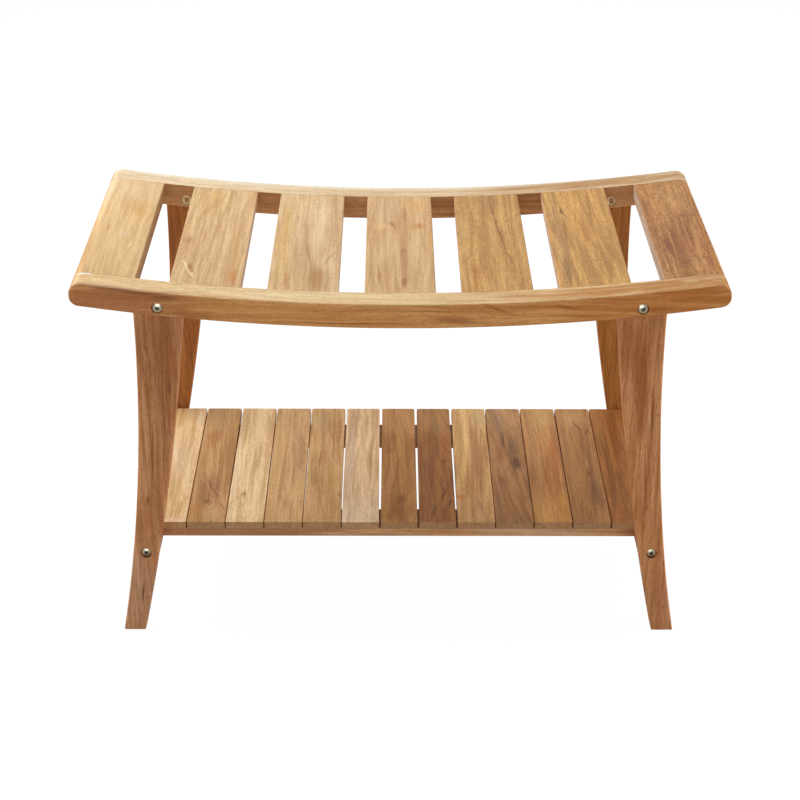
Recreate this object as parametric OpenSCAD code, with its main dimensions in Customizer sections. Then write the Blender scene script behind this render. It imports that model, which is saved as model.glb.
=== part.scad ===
// Teak shower bench: a saddle seat of slats between two curved rails, four sabre legs bolted
// to the rails, and a slatted shelf that lies on two stretchers between the legs.
// X runs along the bench, Y from front to back, Z up. The origin is on the floor, in the middle.

/* [Seat rails] */
// Length of the bench over the ends of the rails
bench_l = 720; // [680:5:800]
// Depth of the bench over the faces of the rails
bench_d = 340; // [310:5:400]
// Height of the seat's top at the middle of the bench
seat_h = 437; // [400:1:480]
// Radius of the hollow along the seat
seat_r = 2480; // [2200:20:3600]
// Height of a rail at the middle of the bench
rail_h = 29; // [28:0.5:34]
// Height of a rail at the ends of the bench
rail_end_h = 27.5; // [26:0.5:32]
// Thickness of a rail, front to back
rail_t = 31; // [29:0.5:38]
// Radius of the upper corner at each end of a rail
end_top_r = 13; // [8:0.5:14]
// Radius of the lower corner at each end of a rail
end_under_r = 11; // [8:0.5:12]

/* [Seat boards] */
// Width of an inner slat of the seat
slat_w = 79; // [60:1:88]
// Thickness of an inner slat of the seat
slat_t = 16; // [14:0.5:20]
// Width of the board at each end of the seat
end_board_w = 69; // [56:1:74]
// Thickness of the board at each end of the seat
end_board_t = 17; // [15:0.5:20]
// Gap between an end board and the slat beside it
end_gap = 36.5; // [34:0.5:46]
// Length of the tenons on slats and end boards
seat_tenon_l = 9; // [6:0.5:11]
// Thickness of the tenons on slats and end boards
seat_tenon_t = 8; // [6:0.5:10]
// Shoulder left on each side of those tenons
seat_tenon_shoulder = 6; // [4:0.5:12]

/* [Legs] */
// Thickness of a leg, front to back
leg_t = 22; // [18:0.5:25]
// How far the leg's face lies behind the rail's face
leg_setback = 1; // [0:0.5:3]
// Distance from the bench's end to the outer edge of a leg, under the rail
leg_inset = 68.5; // [62:0.5:76]
// Width of a leg under the rail
leg_top_w = 53.5; // [48:0.5:60]
// Distance from the bench's end to the outer edge of a foot
foot_inset = 28; // [14:1:40]
// Width of a foot
foot_w = 26; // [24:1:36]
// Radius of the long curve on a leg's inner edge
leg_inner_r = 3600; // [2400:20:5000]
// Height of the tenon on top of a leg
leg_tenon_h = 19; // [15:0.5:21]
// Thickness of the tenon on top of a leg
leg_tenon_t = 12; // [10:0.5:14]
// Shoulder left on each side of a leg's tenon
leg_tenon_shoulder = 7; // [5:0.5:12]

/* [Shelf] */
// Height of the shelf's top
shelf_h = 135; // [110:1:220]
// Depth of the shelf, front to back
shelf_d = 276; // [250:1:290]
// Thickness of a shelf slat
shelf_slat_t = 9; // [8:0.5:14]
// Gap between shelf slats
shelf_slat_gap = 3.2; // [1.5:0.1:8]
// How far the outermost shelf slats lie on the stretchers
shelf_bearing = 11.4; // [10:0.2:22]
// Width of a shelf rail
shelf_rail_w = 44; // [30:1:60]
// Thickness of a shelf rail
shelf_rail_t = 11; // [9:0.5:20]
// Distance from the shelf's back edge to its back rail
shelf_rail_inset = 26; // [0:1:40]
// Width of a stretcher
stretcher_w = 25; // [24:0.5:30]
// Height of a stretcher
stretcher_h = 30; // [22:0.5:34]

/* [Bolts and nuts] */
// Diameter of a bolt's shank
bolt_d = 6; // [5:0.5:6.5]
// Diameter of a bolt's domed head
bolt_head_d = 11.6; // [10:0.2:13]
// Height of a bolt's domed head
bolt_head_h = 3.2; // [2.6:0.1:4]
// Width across the flats of the socket in a bolt's head
bolt_socket = 4; // [3:0.5:5]
// Depth of the socket in a bolt's head
bolt_socket_deep = 2; // [1.5:0.1:2.4]
// Gap between a bolt's head and the wall of its counterbore
bolt_head_gap = 0.7; // [0.3:0.1:1.2]
// How far the seat bolts' heads are let into the rail
rail_bolt_sink = 3.2; // [1:0.1:5]
// Height of the seat bolts above the underside of the rail
rail_bolt_rise = 9; // [8:0.5:11]
// How far the leg bolts' heads are let into the leg
leg_bolt_sink = 4.3; // [1:0.1:6]
// Diameter of a sleeve nut's barrel
sleeve_d = 8.6; // [8.2:0.2:9.4]
// Length of a sleeve nut's barrel
sleeve_l = 18; // [14:0.5:20]
// Diameter of a sleeve nut's flange
sleeve_flange_d = 12.4; // [11:0.2:14]
// Thickness of a sleeve nut's flange
sleeve_flange_t = 1.5; // [1:0.1:2]
// How far a sleeve nut's flange lies below the wood
sleeve_sink = 0.5; // [0:0.1:1.5]
// Length of a seat bolt inside its sleeve nut
sleeve_grip = 12; // [8:0.5:13]
// Diameter of a barrel nut
barrel_d = 10; // [9:0.5:12]
// Length of a barrel nut
barrel_l = 18; // [14:0.5:19]
// Distance from a stretcher's end to the middle of its barrel nut
barrel_in = 28; // [20:1:40]
// Length of a leg bolt past the middle of its barrel nut
barrel_past = 8; // [6:0.5:12]

/* [Screws] */
// Diameter of a wood screw
screw_d = 3.5; // [3:0.5:4.5]
// Diameter of a wood screw's countersunk head
screw_head_d = 7; // [6:0.5:8]
// Height of a wood screw's countersunk head
screw_head_h = 2.2; // [1.8:0.1:3]
// Length of a wood screw's point
screw_point_l = 2.5; // [1.5:0.1:3.5]
// How deep a wood screw goes into a shelf slat
screw_bite = 5; // [4:0.5:6.5]
// Distance of the stretchers' screws from the middle of the bench
stretcher_screw_y = 75; // [40:1:90]

/* [Fit] */
// Clearance round tenons, bolts, nuts and screws
fit = 0.15; // [0.1:0.05:0.3]

/* [Hidden] */

// Counts: each slat has a node of its own
seat_slats = 5;
shelf_slats = 13;

// Facets of the long curves and of the small round parts
long_fn = 720;
round_fn = 64;
// Overlap that lets a cut run clear through a face
over = 1;
// Rounded corners are this much larger, so that they cross the faces they run into
cross = 0.01;

// Tones of the wood: pale top boards, browner rails and legs, and the tones that alternate
rail_tone = "#C6905A";
leg_tone = "#A9714A";
seat_tones = ["#E0B67C", "#D6AE80", "#D2AA78", "#CDA36D", "#CFA060", "#C39557", "#BD8350"];
shelf_tones = [
    "#DDB070", "#B48255", "#DDBB85", "#CFA26C", "#C49660", "#CDB08A", "#A97850",
    "#94623F", "#CFA468", "#A0754F", "#B98347", "#A87B52", "#8C5E3A"
];
steel_tone = "#BFB9AC";

// Seat rails: where the inner faces lie, and the curve of the underside
rail_inner_y = bench_d / 2 - rail_t;
end_x = bench_l / 2;
seat_rise = seat_r - sqrt(pow(seat_r, 2) - pow(end_x, 2));
under_mid_z = seat_h - rail_h;
under_rise = seat_rise + rail_h - rail_end_h;
under_r = (pow(end_x, 2) + pow(under_rise, 2)) / (2 * under_rise);
seat_hub = [0, seat_h + seat_r];
under_hub = [0, under_mid_z + under_r];
top_round = min(end_top_r, rail_end_h / 2);
under_round = min(end_under_r, rail_end_h - top_round - over);

// Seat boards: the inner slats are spread evenly between the two end gaps
end_board_x = end_x - end_board_w / 2;
outer_slat_x = end_x - end_board_w - end_gap - slat_w / 2;
slat_pitch = 2 * outer_slat_x / (seat_slats - 1);

// Legs: the right-hand leg, seen from the front
leg_x = end_x - leg_inset - leg_top_w / 2;
leg_top_z = rail_under_z(leg_x);
leg_face_y = bench_d / 2 - leg_setback;
leg_inner_y = leg_face_y - leg_t;
leg_mid_y = leg_face_y - leg_t / 2;
leg_spread = leg_inset - foot_inset;
leg_outer_r = (pow(leg_top_z, 2) + pow(leg_spread, 2)) / (2 * leg_spread);
leg_outer_hub = [end_x - leg_inset + leg_outer_r, leg_top_z];
leg_inner_top = [end_x - leg_inset - leg_top_w, leg_top_z];
leg_inner_foot = [end_x - foot_inset - foot_w, 0];
leg_inner_hub = arc_hub(leg_inner_foot, leg_inner_top, leg_inner_r);

// Shelf and stretchers
shelf_under_z = shelf_h - shelf_slat_t;
stretcher_mid_z = shelf_under_z - stretcher_h / 2;
stretcher_low_z = shelf_under_z - stretcher_h;
stretcher_x = (leg_outer_x(stretcher_mid_z) + leg_inner_x(stretcher_mid_z)) / 2;
stretcher_inner_x = stretcher_x - stretcher_w / 2;
shelf_l = 2 * (stretcher_inner_x + shelf_bearing);
shelf_slat_w = (shelf_l - (shelf_slats - 1) * shelf_slat_gap) / shelf_slats;
shelf_rail_front_y = -shelf_d / 2;
shelf_rail_back_y = shelf_d / 2 - shelf_rail_inset - shelf_rail_w;

// Bolts, nuts and screws
counterbore_d = bolt_head_d + 2 * bolt_head_gap;
rail_bolt_z = leg_top_z + rail_bolt_rise;
rail_bolt_seat_y = bench_d / 2 - rail_bolt_sink;
sleeve_end_y = rail_inner_y + sleeve_sink + sleeve_flange_t + sleeve_l;
leg_bolt_seat_y = leg_face_y - leg_bolt_sink;
barrel_y = leg_inner_y - barrel_in;

// Centre of the circle of radius r through two points, on the right of the line from a to b
function arc_hub(a, b, r) =
    let (half = (b - a) / 2, reach = sqrt(pow(r, 2) - half * half) / norm(half))
    a + half + reach * [half[1], -half[0]];

// Height of the rail's underside at a place along the bench
function rail_under_z(x) = under_hub[1] - sqrt(pow(under_r, 2) - pow(x, 2));

// Outer and inner edge of the right-hand leg at a height
function leg_outer_x(z) = leg_outer_hub[0] - sqrt(pow(leg_outer_r, 2) - pow(leg_outer_hub[1] - z, 2));
function leg_inner_x(z) = leg_inner_hub[0] - sqrt(pow(leg_inner_r, 2) - pow(leg_inner_hub[1] - z, 2));

// Middle of a shelf slat, counted from 1 at the left
function shelf_slat_x(i) = -shelf_l / 2 + shelf_slat_w / 2 + (i - 1) * (shelf_slat_w + shelf_slat_gap);

// Middle of an inner seat slat, counted from 1 at the left
function seat_slat_x(i) = -outer_slat_x + (i - 1) * slat_pitch;

// Puts a flat outline upright and gives it its depth from front y0 to back y1
module upright(y0, y1) {
    translate([0, y1, 0]) rotate([90, 0, 0]) linear_extrude(height = y1 - y0) children();
}

// Turns a child that is drawn at the seat's middle to another place along the hollow
module along_seat(x) {
    translate([0, 0, seat_hub[1]]) rotate([0, -asin(x / seat_r), 0]) translate([0, 0, -seat_r]) children();
}

// Repeats a child that is drawn at the right and back on all four corners
module at_corners() {
    for (left = [0, 1], front = [0, 1])
        mirror([left, 0, 0]) mirror([0, front, 0]) children();
}

// A round hole or pin along Y, from y0 to y1
module y_round(d, y0, y1) {
    translate([0, y0, 0]) rotate([-90, 0, 0]) cylinder(d = d, h = y1 - y0, $fn = round_fn);
}

// What is taken off a corner to leave a fillet round mid that touches the line towards touch
module corner_waste(mid, touch, r, side) {
    difference() {
        polygon([
            mid,
            mid + 2 * r * touch,
            [end_x + r, mid[1] + 2 * r * side],
            [end_x + r, mid[1]]
        ]);
        translate(mid) circle(r = r + cross, $fn = round_fn);
    }
}

// Both rounded corners of the rail's right-hand end
module end_waste() {
    top_x = end_x - top_round;
    top_mid = [top_x, seat_hub[1] - sqrt(pow(seat_r + top_round, 2) - pow(top_x, 2))];
    corner_waste(top_mid, (seat_hub - top_mid) / norm(seat_hub - top_mid), top_round, 1);
    under_x = end_x - under_round;
    under_mid = [under_x, under_hub[1] - sqrt(pow(under_r - under_round, 2) - pow(under_x, 2))];
    corner_waste(under_mid, (under_mid - under_hub) / norm(under_mid - under_hub), under_round, -1);
}

// Outline of a seat rail, seen from the front
module rail_outline() {
    difference() {
        intersection() {
            translate(under_hub) circle(r = under_r, $fn = long_fn);
            translate([-end_x, 0]) square([bench_l, seat_h + seat_rise + over]);
        }
        translate(seat_hub) circle(r = seat_r, $fn = long_fn);
        end_waste();
        mirror([1, 0]) end_waste();
    }
}

// Tenons of an inner slat, in one bar from rail to rail
module slat_tenon(grow = 0) {
    w = slat_w - 2 * seat_tenon_shoulder + 2 * grow;
    l = 2 * (rail_inner_y + seat_tenon_l + grow);
    t = seat_tenon_t + 2 * grow;
    translate([-w / 2, -l / 2, -slat_t / 2 - t / 2]) cube([w, l, t]);
}

// Tenons of an end board, in one bar from rail to rail
module end_tenon(grow = 0) {
    w = end_board_w - 2 * seat_tenon_shoulder + 2 * grow;
    l = 2 * (rail_inner_y + seat_tenon_l + grow);
    t = seat_tenon_t + 2 * grow;
    translate([-w / 2, -l / 2, -end_board_t / 2 - t / 2]) cube([w, l, t]);
}

// Tenon on top of the right-hand back leg
module leg_tenon(grow = 0) {
    w = leg_top_w - 2 * leg_tenon_shoulder + 2 * grow;
    t = leg_tenon_t + 2 * grow;
    root = leg_tenon_h / 2;
    translate([leg_x - w / 2, leg_mid_y - t / 2, leg_top_z - root])
        cube([w, t, root + leg_tenon_h + grow]);
}

// Holes of one seat bolt and its sleeve nut, at the right and back
module rail_bolt_hole() {
    translate([leg_x, 0, rail_bolt_z]) {
        y_round(bolt_d + 2 * fit, rail_inner_y - over, bench_d / 2 + over);
        y_round(counterbore_d, rail_bolt_seat_y, bench_d / 2 + over);
        y_round(sleeve_d + 2 * fit, rail_inner_y - over, sleeve_end_y + fit);
        y_round(sleeve_flange_d + 2 * fit, rail_inner_y - over, rail_inner_y + sleeve_sink + sleeve_flange_t);
    }
}

// Seat rail at the back
module seat_rail() {
    color(rail_tone) difference() {
        upright(rail_inner_y, bench_d / 2) rail_outline();
        for (i = [1 : seat_slats])
            along_seat(seat_slat_x(i)) slat_tenon(fit);
        for (left = [0, 1]) mirror([left, 0, 0]) {
            along_seat(end_board_x) end_tenon(fit);
            leg_tenon(fit);
            rail_bolt_hole();
        }
    }
}

// Board at the right-hand end of the seat, thinner than the rails and rounded like their ends
module seat_end_board(tone) {
    color(tone) union() {
        upright(-rail_inner_y, rail_inner_y) intersection() {
            rail_outline();
            translate([end_x - end_board_w, 0]) square([end_board_w, seat_h + seat_rise + over]);
            translate(seat_hub) circle(r = seat_r + end_board_t, $fn = long_fn);
        }
        along_seat(end_board_x) end_tenon();
    }
}

// Inner slat of the seat, counted from the left
module seat_slat(i) {
    color(seat_tones[i]) along_seat(seat_slat_x(i)) union() {
        translate([-slat_w / 2, -rail_inner_y, -slat_t]) cube([slat_w, 2 * rail_inner_y, slat_t]);
        slat_tenon();
    }
}

// Outline of the right-hand leg, seen from the front
module leg_outline() {
    difference() {
        intersection() {
            translate(leg_inner_hub) circle(r = leg_inner_r, $fn = long_fn);
            translate([leg_inner_top[0] - over, 0]) square([end_x - leg_inner_top[0], seat_h]);
        }
        translate(leg_outer_hub) circle(r = leg_outer_r, $fn = long_fn);
        translate(under_hub) circle(r = under_r + fit, $fn = long_fn);
    }
}

// Sabre leg at the right and back
module leg() {
    color(leg_tone) difference() {
        union() {
            upright(leg_inner_y, leg_face_y) leg_outline();
            leg_tenon();
        }
        translate([leg_x, 0, rail_bolt_z]) y_round(sleeve_d + 2 * fit, leg_inner_y - over, bench_d / 2);
        translate([stretcher_x, 0, stretcher_mid_z]) {
            y_round(bolt_d + 2 * fit, leg_inner_y - over, leg_face_y + over);
            y_round(counterbore_d, leg_bolt_seat_y, leg_face_y + over);
        }
    }
}

// Countersunk screw that points up, with its head's face at z = 0
module screw(l, grow = 0) {
    rotate_extrude($fn = round_fn) polygon([
        [0, 0],
        [screw_head_d / 2 + grow, 0],
        [screw_d / 2 + grow, screw_head_h],
        [screw_d / 2 + grow, l - screw_point_l],
        [0, l + grow]
    ]);
}

// Places the screws that hold the shelf slats to the shelf rail whose front face is at y
module at_slat_screws(y) {
    for (i = [1 : shelf_slats])
        translate([shelf_slat_x(i), y + shelf_rail_w / 2, shelf_under_z - shelf_rail_t]) children();
}

// Places the screws that hold the outermost slats to the stretchers
module at_stretcher_screws() {
    at_corners() translate([stretcher_inner_x + shelf_bearing / 2, stretcher_screw_y, stretcher_low_z])
        children();
}

// Stretcher at the right, between the front and back legs
module stretcher() {
    color(leg_tone) difference() {
        translate([stretcher_inner_x, -leg_inner_y, stretcher_low_z])
            cube([stretcher_w, 2 * leg_inner_y, stretcher_h]);
        for (front = [0, 1]) mirror([0, front, 0]) {
            translate([stretcher_x, 0, stretcher_mid_z])
                y_round(bolt_d + 2 * fit, barrel_y - barrel_past - over, leg_inner_y + over);
            translate([stretcher_x, barrel_y, stretcher_low_z - over])
                cylinder(d = barrel_d + 2 * fit, h = over + (stretcher_h + barrel_l) / 2 + fit, $fn = round_fn);
        }
        at_stretcher_screws() screw(stretcher_h + screw_bite, fit);
    }
}

// Rail under the shelf slats, with its front face at y
module shelf_rail(y) {
    color(rail_tone) difference() {
        translate([-stretcher_inner_x, y, shelf_under_z - shelf_rail_t])
            cube([2 * stretcher_inner_x, shelf_rail_w, shelf_rail_t]);
        at_slat_screws(y) screw(shelf_rail_t + screw_bite, fit);
    }
}

// Shelf slat, counted from the left
module shelf_slat(i) {
    color(shelf_tones[i - 1]) difference() {
        translate([shelf_slat_x(i) - shelf_slat_w / 2, -shelf_d / 2, shelf_under_z])
            cube([shelf_slat_w, shelf_d, shelf_slat_t]);
        for (y = [shelf_rail_front_y, shelf_rail_back_y])
            at_slat_screws(y) screw(shelf_rail_t + screw_bite, fit);
        at_stretcher_screws() screw(stretcher_h + screw_bite, fit);
    }
}

// Bolt along +Z with its head's underside at z = 0
module bolt(l) {
    dome_r = (pow(bolt_head_d / 2, 2) + pow(bolt_head_h, 2)) / (2 * bolt_head_h);
    difference() {
        union() {
            translate([0, 0, -l]) cylinder(d = bolt_d, h = l + over, $fn = round_fn);
            intersection() {
                translate([0, 0, bolt_head_h - dome_r]) sphere(r = dome_r, $fn = round_fn);
                cylinder(d = bolt_head_d, h = bolt_head_h, $fn = round_fn);
            }
        }
        translate([0, 0, bolt_head_h - bolt_socket_deep])
            cylinder(d = bolt_socket / cos(30), h = bolt_socket_deep + over, $fn = 6);
    }
}

// Bolts through the seat rails and the leg tenons
module seat_bolts() {
    color(steel_tone) at_corners()
        translate([leg_x, rail_bolt_seat_y, rail_bolt_z]) rotate([-90, 0, 0])
            bolt(rail_bolt_seat_y - sleeve_end_y + sleeve_grip);
}

// Sleeve nuts in the rails' inner faces
module sleeve_nuts() {
    color(steel_tone) at_corners() translate([leg_x, 0, rail_bolt_z]) difference() {
        union() {
            y_round(sleeve_flange_d, rail_inner_y + sleeve_sink, rail_inner_y + sleeve_sink + sleeve_flange_t);
            y_round(sleeve_d, rail_inner_y + sleeve_sink, sleeve_end_y);
        }
        y_round(bolt_d + 2 * fit, rail_inner_y, sleeve_end_y + over);
    }
}

// Bolts through the legs into the stretchers
module leg_bolts() {
    color(steel_tone) at_corners()
        translate([stretcher_x, leg_bolt_seat_y, stretcher_mid_z]) rotate([-90, 0, 0])
            bolt(leg_bolt_seat_y - barrel_y + barrel_past);
}

// Barrel nuts that stand in the stretchers
module barrel_nuts() {
    color(steel_tone) at_corners() translate([stretcher_x, barrel_y, stretcher_mid_z]) difference() {
        translate([0, 0, -barrel_l / 2]) cylinder(d = barrel_d, h = barrel_l, $fn = round_fn);
        y_round(bolt_d + 2 * fit, -barrel_d, barrel_d);
    }
}

// Screws through the shelf rails into the slats
module slat_screws() {
    color(steel_tone)
        for (y = [shelf_rail_front_y, shelf_rail_back_y])
            at_slat_screws(y) screw(shelf_rail_t + screw_bite);
}

// Screws through the stretchers into the outermost slats
module stretcher_screws() {
    color(steel_tone) at_stretcher_screws() screw(stretcher_h + screw_bite);
}

mirror([0, 1, 0]) seat_rail();  // seat_rail_front
seat_rail();  // seat_rail_back
mirror([1, 0, 0]) seat_end_board(seat_tones[0]);  // seat_end_board_left
seat_end_board(seat_tones[6]);  // seat_end_board_right
seat_slat(1);  // seat_slat_1
seat_slat(2);  // seat_slat_2
seat_slat(3);  // seat_slat_3
seat_slat(4);  // seat_slat_4
seat_slat(5);  // seat_slat_5
mirror([1, 0, 0]) mirror([0, 1, 0]) leg();  // leg_front_left
mirror([0, 1, 0]) leg();  // leg_front_right
mirror([1, 0, 0]) leg();  // leg_back_left
leg();  // leg_back_right
mirror([1, 0, 0]) stretcher();  // stretcher_left
stretcher();  // stretcher_right
shelf_rail(shelf_rail_front_y);  // shelf_rail_front
shelf_rail(shelf_rail_back_y);  // shelf_rail_back
shelf_slat(1);  // shelf_slat_1
shelf_slat(2);  // shelf_slat_2
shelf_slat(3);  // shelf_slat_3
shelf_slat(4);  // shelf_slat_4
shelf_slat(5);  // shelf_slat_5
shelf_slat(6);  // shelf_slat_6
shelf_slat(7);  // shelf_slat_7
shelf_slat(8);  // shelf_slat_8
shelf_slat(9);  // shelf_slat_9
shelf_slat(10);  // shelf_slat_10
shelf_slat(11);  // shelf_slat_11
shelf_slat(12);  // shelf_slat_12
shelf_slat(13);  // shelf_slat_13
seat_bolts();
sleeve_nuts();
leg_bolts();
barrel_nuts();
slat_screws();
stretcher_screws();
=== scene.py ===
"""Teak shower bench: eased boards, their grain and their hardware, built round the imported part.

Lengths are in metres unless a name ends in _mm. X runs along the bench, Y from front to back, Z up.
"""

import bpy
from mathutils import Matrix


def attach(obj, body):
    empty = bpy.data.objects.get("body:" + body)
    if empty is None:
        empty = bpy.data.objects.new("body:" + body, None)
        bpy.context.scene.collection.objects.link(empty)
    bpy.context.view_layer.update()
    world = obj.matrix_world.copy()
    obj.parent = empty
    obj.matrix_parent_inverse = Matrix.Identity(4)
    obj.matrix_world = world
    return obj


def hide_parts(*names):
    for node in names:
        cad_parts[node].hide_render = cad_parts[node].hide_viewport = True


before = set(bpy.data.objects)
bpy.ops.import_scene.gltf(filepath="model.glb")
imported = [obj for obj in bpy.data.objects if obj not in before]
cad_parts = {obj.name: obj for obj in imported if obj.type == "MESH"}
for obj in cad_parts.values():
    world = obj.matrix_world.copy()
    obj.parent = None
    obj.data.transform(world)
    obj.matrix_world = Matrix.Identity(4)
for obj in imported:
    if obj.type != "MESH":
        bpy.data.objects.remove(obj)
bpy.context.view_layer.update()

import logging
import math
from dataclasses import dataclass, field, replace
from enum import Enum
from functools import partial
from typing import Callable, Optional, Union

import bmesh
import bpy
from mathutils import Matrix, Vector

LOG = logging.getLogger("shower_bench")
MM = 0.001
WELD = 1e-6  # Points and levels nearer than this are the same
ROUND_SIDES, SMALL_SIDES = 48, 24
BODY = "root"
X_AXIS, Y_AXIS, Z_AXIS = (Vector(axis) for axis in ((1, 0, 0), (0, 1, 0), (0, 0, 1)))
Mesh, Edge = bmesh.types.BMesh, bmesh.types.BMEdge
COLOURS = {"data_type": "RGBA"}
SMOOTH = {"interpolation_type": "SMOOTHSTEP"}
WHITE = (1.0, 1.0, 1.0, 1.0)
Pair, Triple = tuple[float, float], tuple[float, float, float]
Material, Node, Object = bpy.types.Material, bpy.types.Node, bpy.types.Object
Value = Union[Node, bpy.types.NodeSocket, float, tuple]
Adder = Callable[..., Node]


class Grain(Enum):
    """Which way the wood fibres run, as the order of axes: along, across the show face, into the board."""

    BENCH_LENGTH = ("X", "Z", "Y")
    BENCH_DEPTH = ("Y", "X", "Z")
    UPRIGHT = ("Z", "X", "Y")


class Side(Enum):
    """Left or right half of the bench, seen from the front."""

    LEFT = -1
    RIGHT = 1


class End(Enum):
    """Front or back of the bench; the value is the way that it looks along Y."""

    FRONT = -1
    BACK = 1


CORNERS = [(side, end) for side in Side for end in End]

# How the wood's patterns work together
SEED_STEP = 97.0  # Millimetres between the patterns of two seeds
WANDER_ACROSS, WANDER_INWARDS = 2.4, 1.2  # How far the fibres wander on the face and into the board
STREAK_PART, CLOUD_PART = 0.6, 0.4  # What streaks and clouds add to the tone
FIBRE_PART, VEIN_PART = 0.35, 0.4  # What fibres and veins add to the shade
FIBRE_DARK, STREAK_DARK, STREAK_BRIGHT = 1.5, 0.06, 0.03  # How far they darken and brighten the wood
FRAY = 1.5  # How far figures fray at their edges
SWIRL_REACH = 2.0  # Size of the swirl round a knot, in knots
RING_UNEVEN, RING_SHARPNESS, RING_DEPTH = 2.2, 1.7, 1.8  # Rings vary in width, set in late and are this strong
LATE_SHARE = 0.6  # How dark the late wood is
# A wash is painted light and shade on upright faces, and a tone of their own on cut ends
WASH_SHARE = 0.75  # How much of the wood a wash hides


# ---------------------------------------------------------------- colours and nodes


def rgba(code: str) -> tuple[float, float, float, float]:
    """Turns an sRGB hex colour into the linear values that Blender works with.

    Args:
        code: Colour such as "#E3C292".

    Returns:
        Linear red, green and blue, and an alpha of 1.
    """
    parts = [int(code[i:i + 2], 16) / 255 for i in (1, 3, 5)]
    linear = [p / 12.92 if p <= 0.04045 else ((p + 0.055) / 1.055) ** 2.4 for p in parts]
    return (linear[0], linear[1], linear[2], 1.0)


def add_node(
    tree: bpy.types.NodeTree, kind: str, *values: Value, into: Optional[dict[Union[int, str], Value]] = None,
    **settings: object,
) -> Node:
    """Adds one node with its settings and what comes into it.

    Args:
        tree: Node tree to add to.
        kind: Node type without the ShaderNode prefix, and after a dot the operation of a node that has one.
        *values: What comes into its first inputs: constants, sockets, or nodes, whose first output in use counts.
        into: The same by input name or number.
        **settings: Properties of the node.

    Returns:
        The new node.
    """
    kind, _, operation = kind.partition(".")
    node = tree.nodes.new("ShaderNode" + kind)
    if operation:
        node.operation = operation
    for name, setting in settings.items():
        setattr(node, name, setting)
    for key, value in (dict(enumerate(values)) | (into or {})).items():
        if isinstance(value, Node):
            value = next(output for output in value.outputs if output.enabled)
        if isinstance(value, bpy.types.NodeSocket):
            tree.links.new(value, node.inputs[key])
        else:
            node.inputs[key].default_value = value
    return node


def apart(by: float) -> Triple:
    """Gives a shift that makes two patterns differ."""
    return (by, by * 0.7, by * 1.3)


def fresh_material(name: str) -> Material:
    """Returns a node material whose node tree is empty.

    Args:
        name: Name of the material.

    Returns:
        The material, whose node tree is still empty.
    """
    material = bpy.data.materials.new(name)
    material.use_nodes = True
    material.node_tree.nodes.clear()
    return material


# ---------------------------------------------------------------- finishes


class Layer(Enum):
    """Noise in the wood: size of its features in mm along, across and into the board, detail, roughness and shift.

    Real fibres are a tenth of a millimetre wide, and are drawn coarser so that they show at arm's length.
    """

    WANDER = ((110.0, 30.0, 30.0), 1.5, 0.5, 0.0)
    STREAKS = ((120.0, 5.0, 5.0), 3.0, 0.6, 400.0)
    CLOUDS = ((110.0, 22.0, 22.0), 2.5, 0.5, 900.0)
    FIBRES = ((34.0, 1.9, 1.9), 3.0, 0.75, 0.0)
    VEINS = ((90.0, 4.4, 4.4), 2.0, 0.5, 250.0)
    SPECKS = ((5.0, 2.2, 2.2), 2.0, 0.7, 610.0)
    PORES = ((12.0, 1.6, 1.6), 2.0, 0.6, 77.0)

    def draw(self, add: Adder, wood: Value) -> Node:
        """Draws the layer over wood coordinates in millimetres.

        Args:
            add: Adds a node to the material.
            wood: Wood coordinates in millimetres.

        Returns:
            The noise, about 0.5 on average.
        """
        size_mm, detail, rough, shift = self.value
        place = add("VectorMath.ADD", wood, apart(shift))
        scaled = add("VectorMath.MULTIPLY", place, tuple(1.0 / size for size in size_mm))
        return add("TexNoise", into={"Vector": scaled, "Scale": 1.0, "Detail": detail, "Roughness": rough})


class Span(Enum):
    """Smooth steps in the wood's patterns: where they start and end, and what they go from and to if not 0 and 1."""

    PALE_WOOD = (0.41, 0.61)
    RING_FADE = (0.35, 0.65, 0.35, 1.0)
    RING_RISE = (0.25, 0.88)
    RING_END = (0.88, 1.0, 1.0, 0.0)
    PORES = (0.56, 0.7)
    END_FACE = (0.5, 0.95)
    FLAT_FACE = (0.35, 0.9)
    SHEEN = (0.3, 0.7, 0.46, 0.58)


@dataclass(frozen=True)
class FigureOrPaintedLight:
    """A patch, streak or knot in one board, or a patch of painted light or shade on it, placed in bench millimetres.

    Attributes:
        along: Centre, along the grain.
        across: Centre, across the show face.
        half_along: Half size along the grain.
        half_across: Half size across it.
        colour: sRGB hex colour that the patch pulls the wood towards.
        strength: How far it pulls, from 0 to 1.
        turn: Degrees that the patch is turned on the face.
        swirl_mm: How far the growth rings bend round it.
        soft: Share of the half size over which it fades.
        depth: Centre and half size into the board, where only one face shows the patch.
    """

    along: float
    across: float
    half_along: float
    half_across: float
    colour: str
    strength: float
    turn: float = 0.0
    swirl_mm: float = 0.0
    soft: float = 0.8
    depth: Pair = (0.0, 1.0e5)


def marks(*rows: tuple, **shared: Pair) -> tuple[FigureOrPaintedLight, ...]:
    """Makes figures from rows of their values, and from values that they all share."""
    return tuple(FigureOrPaintedLight(*row, **shared) for row in rows)


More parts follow.
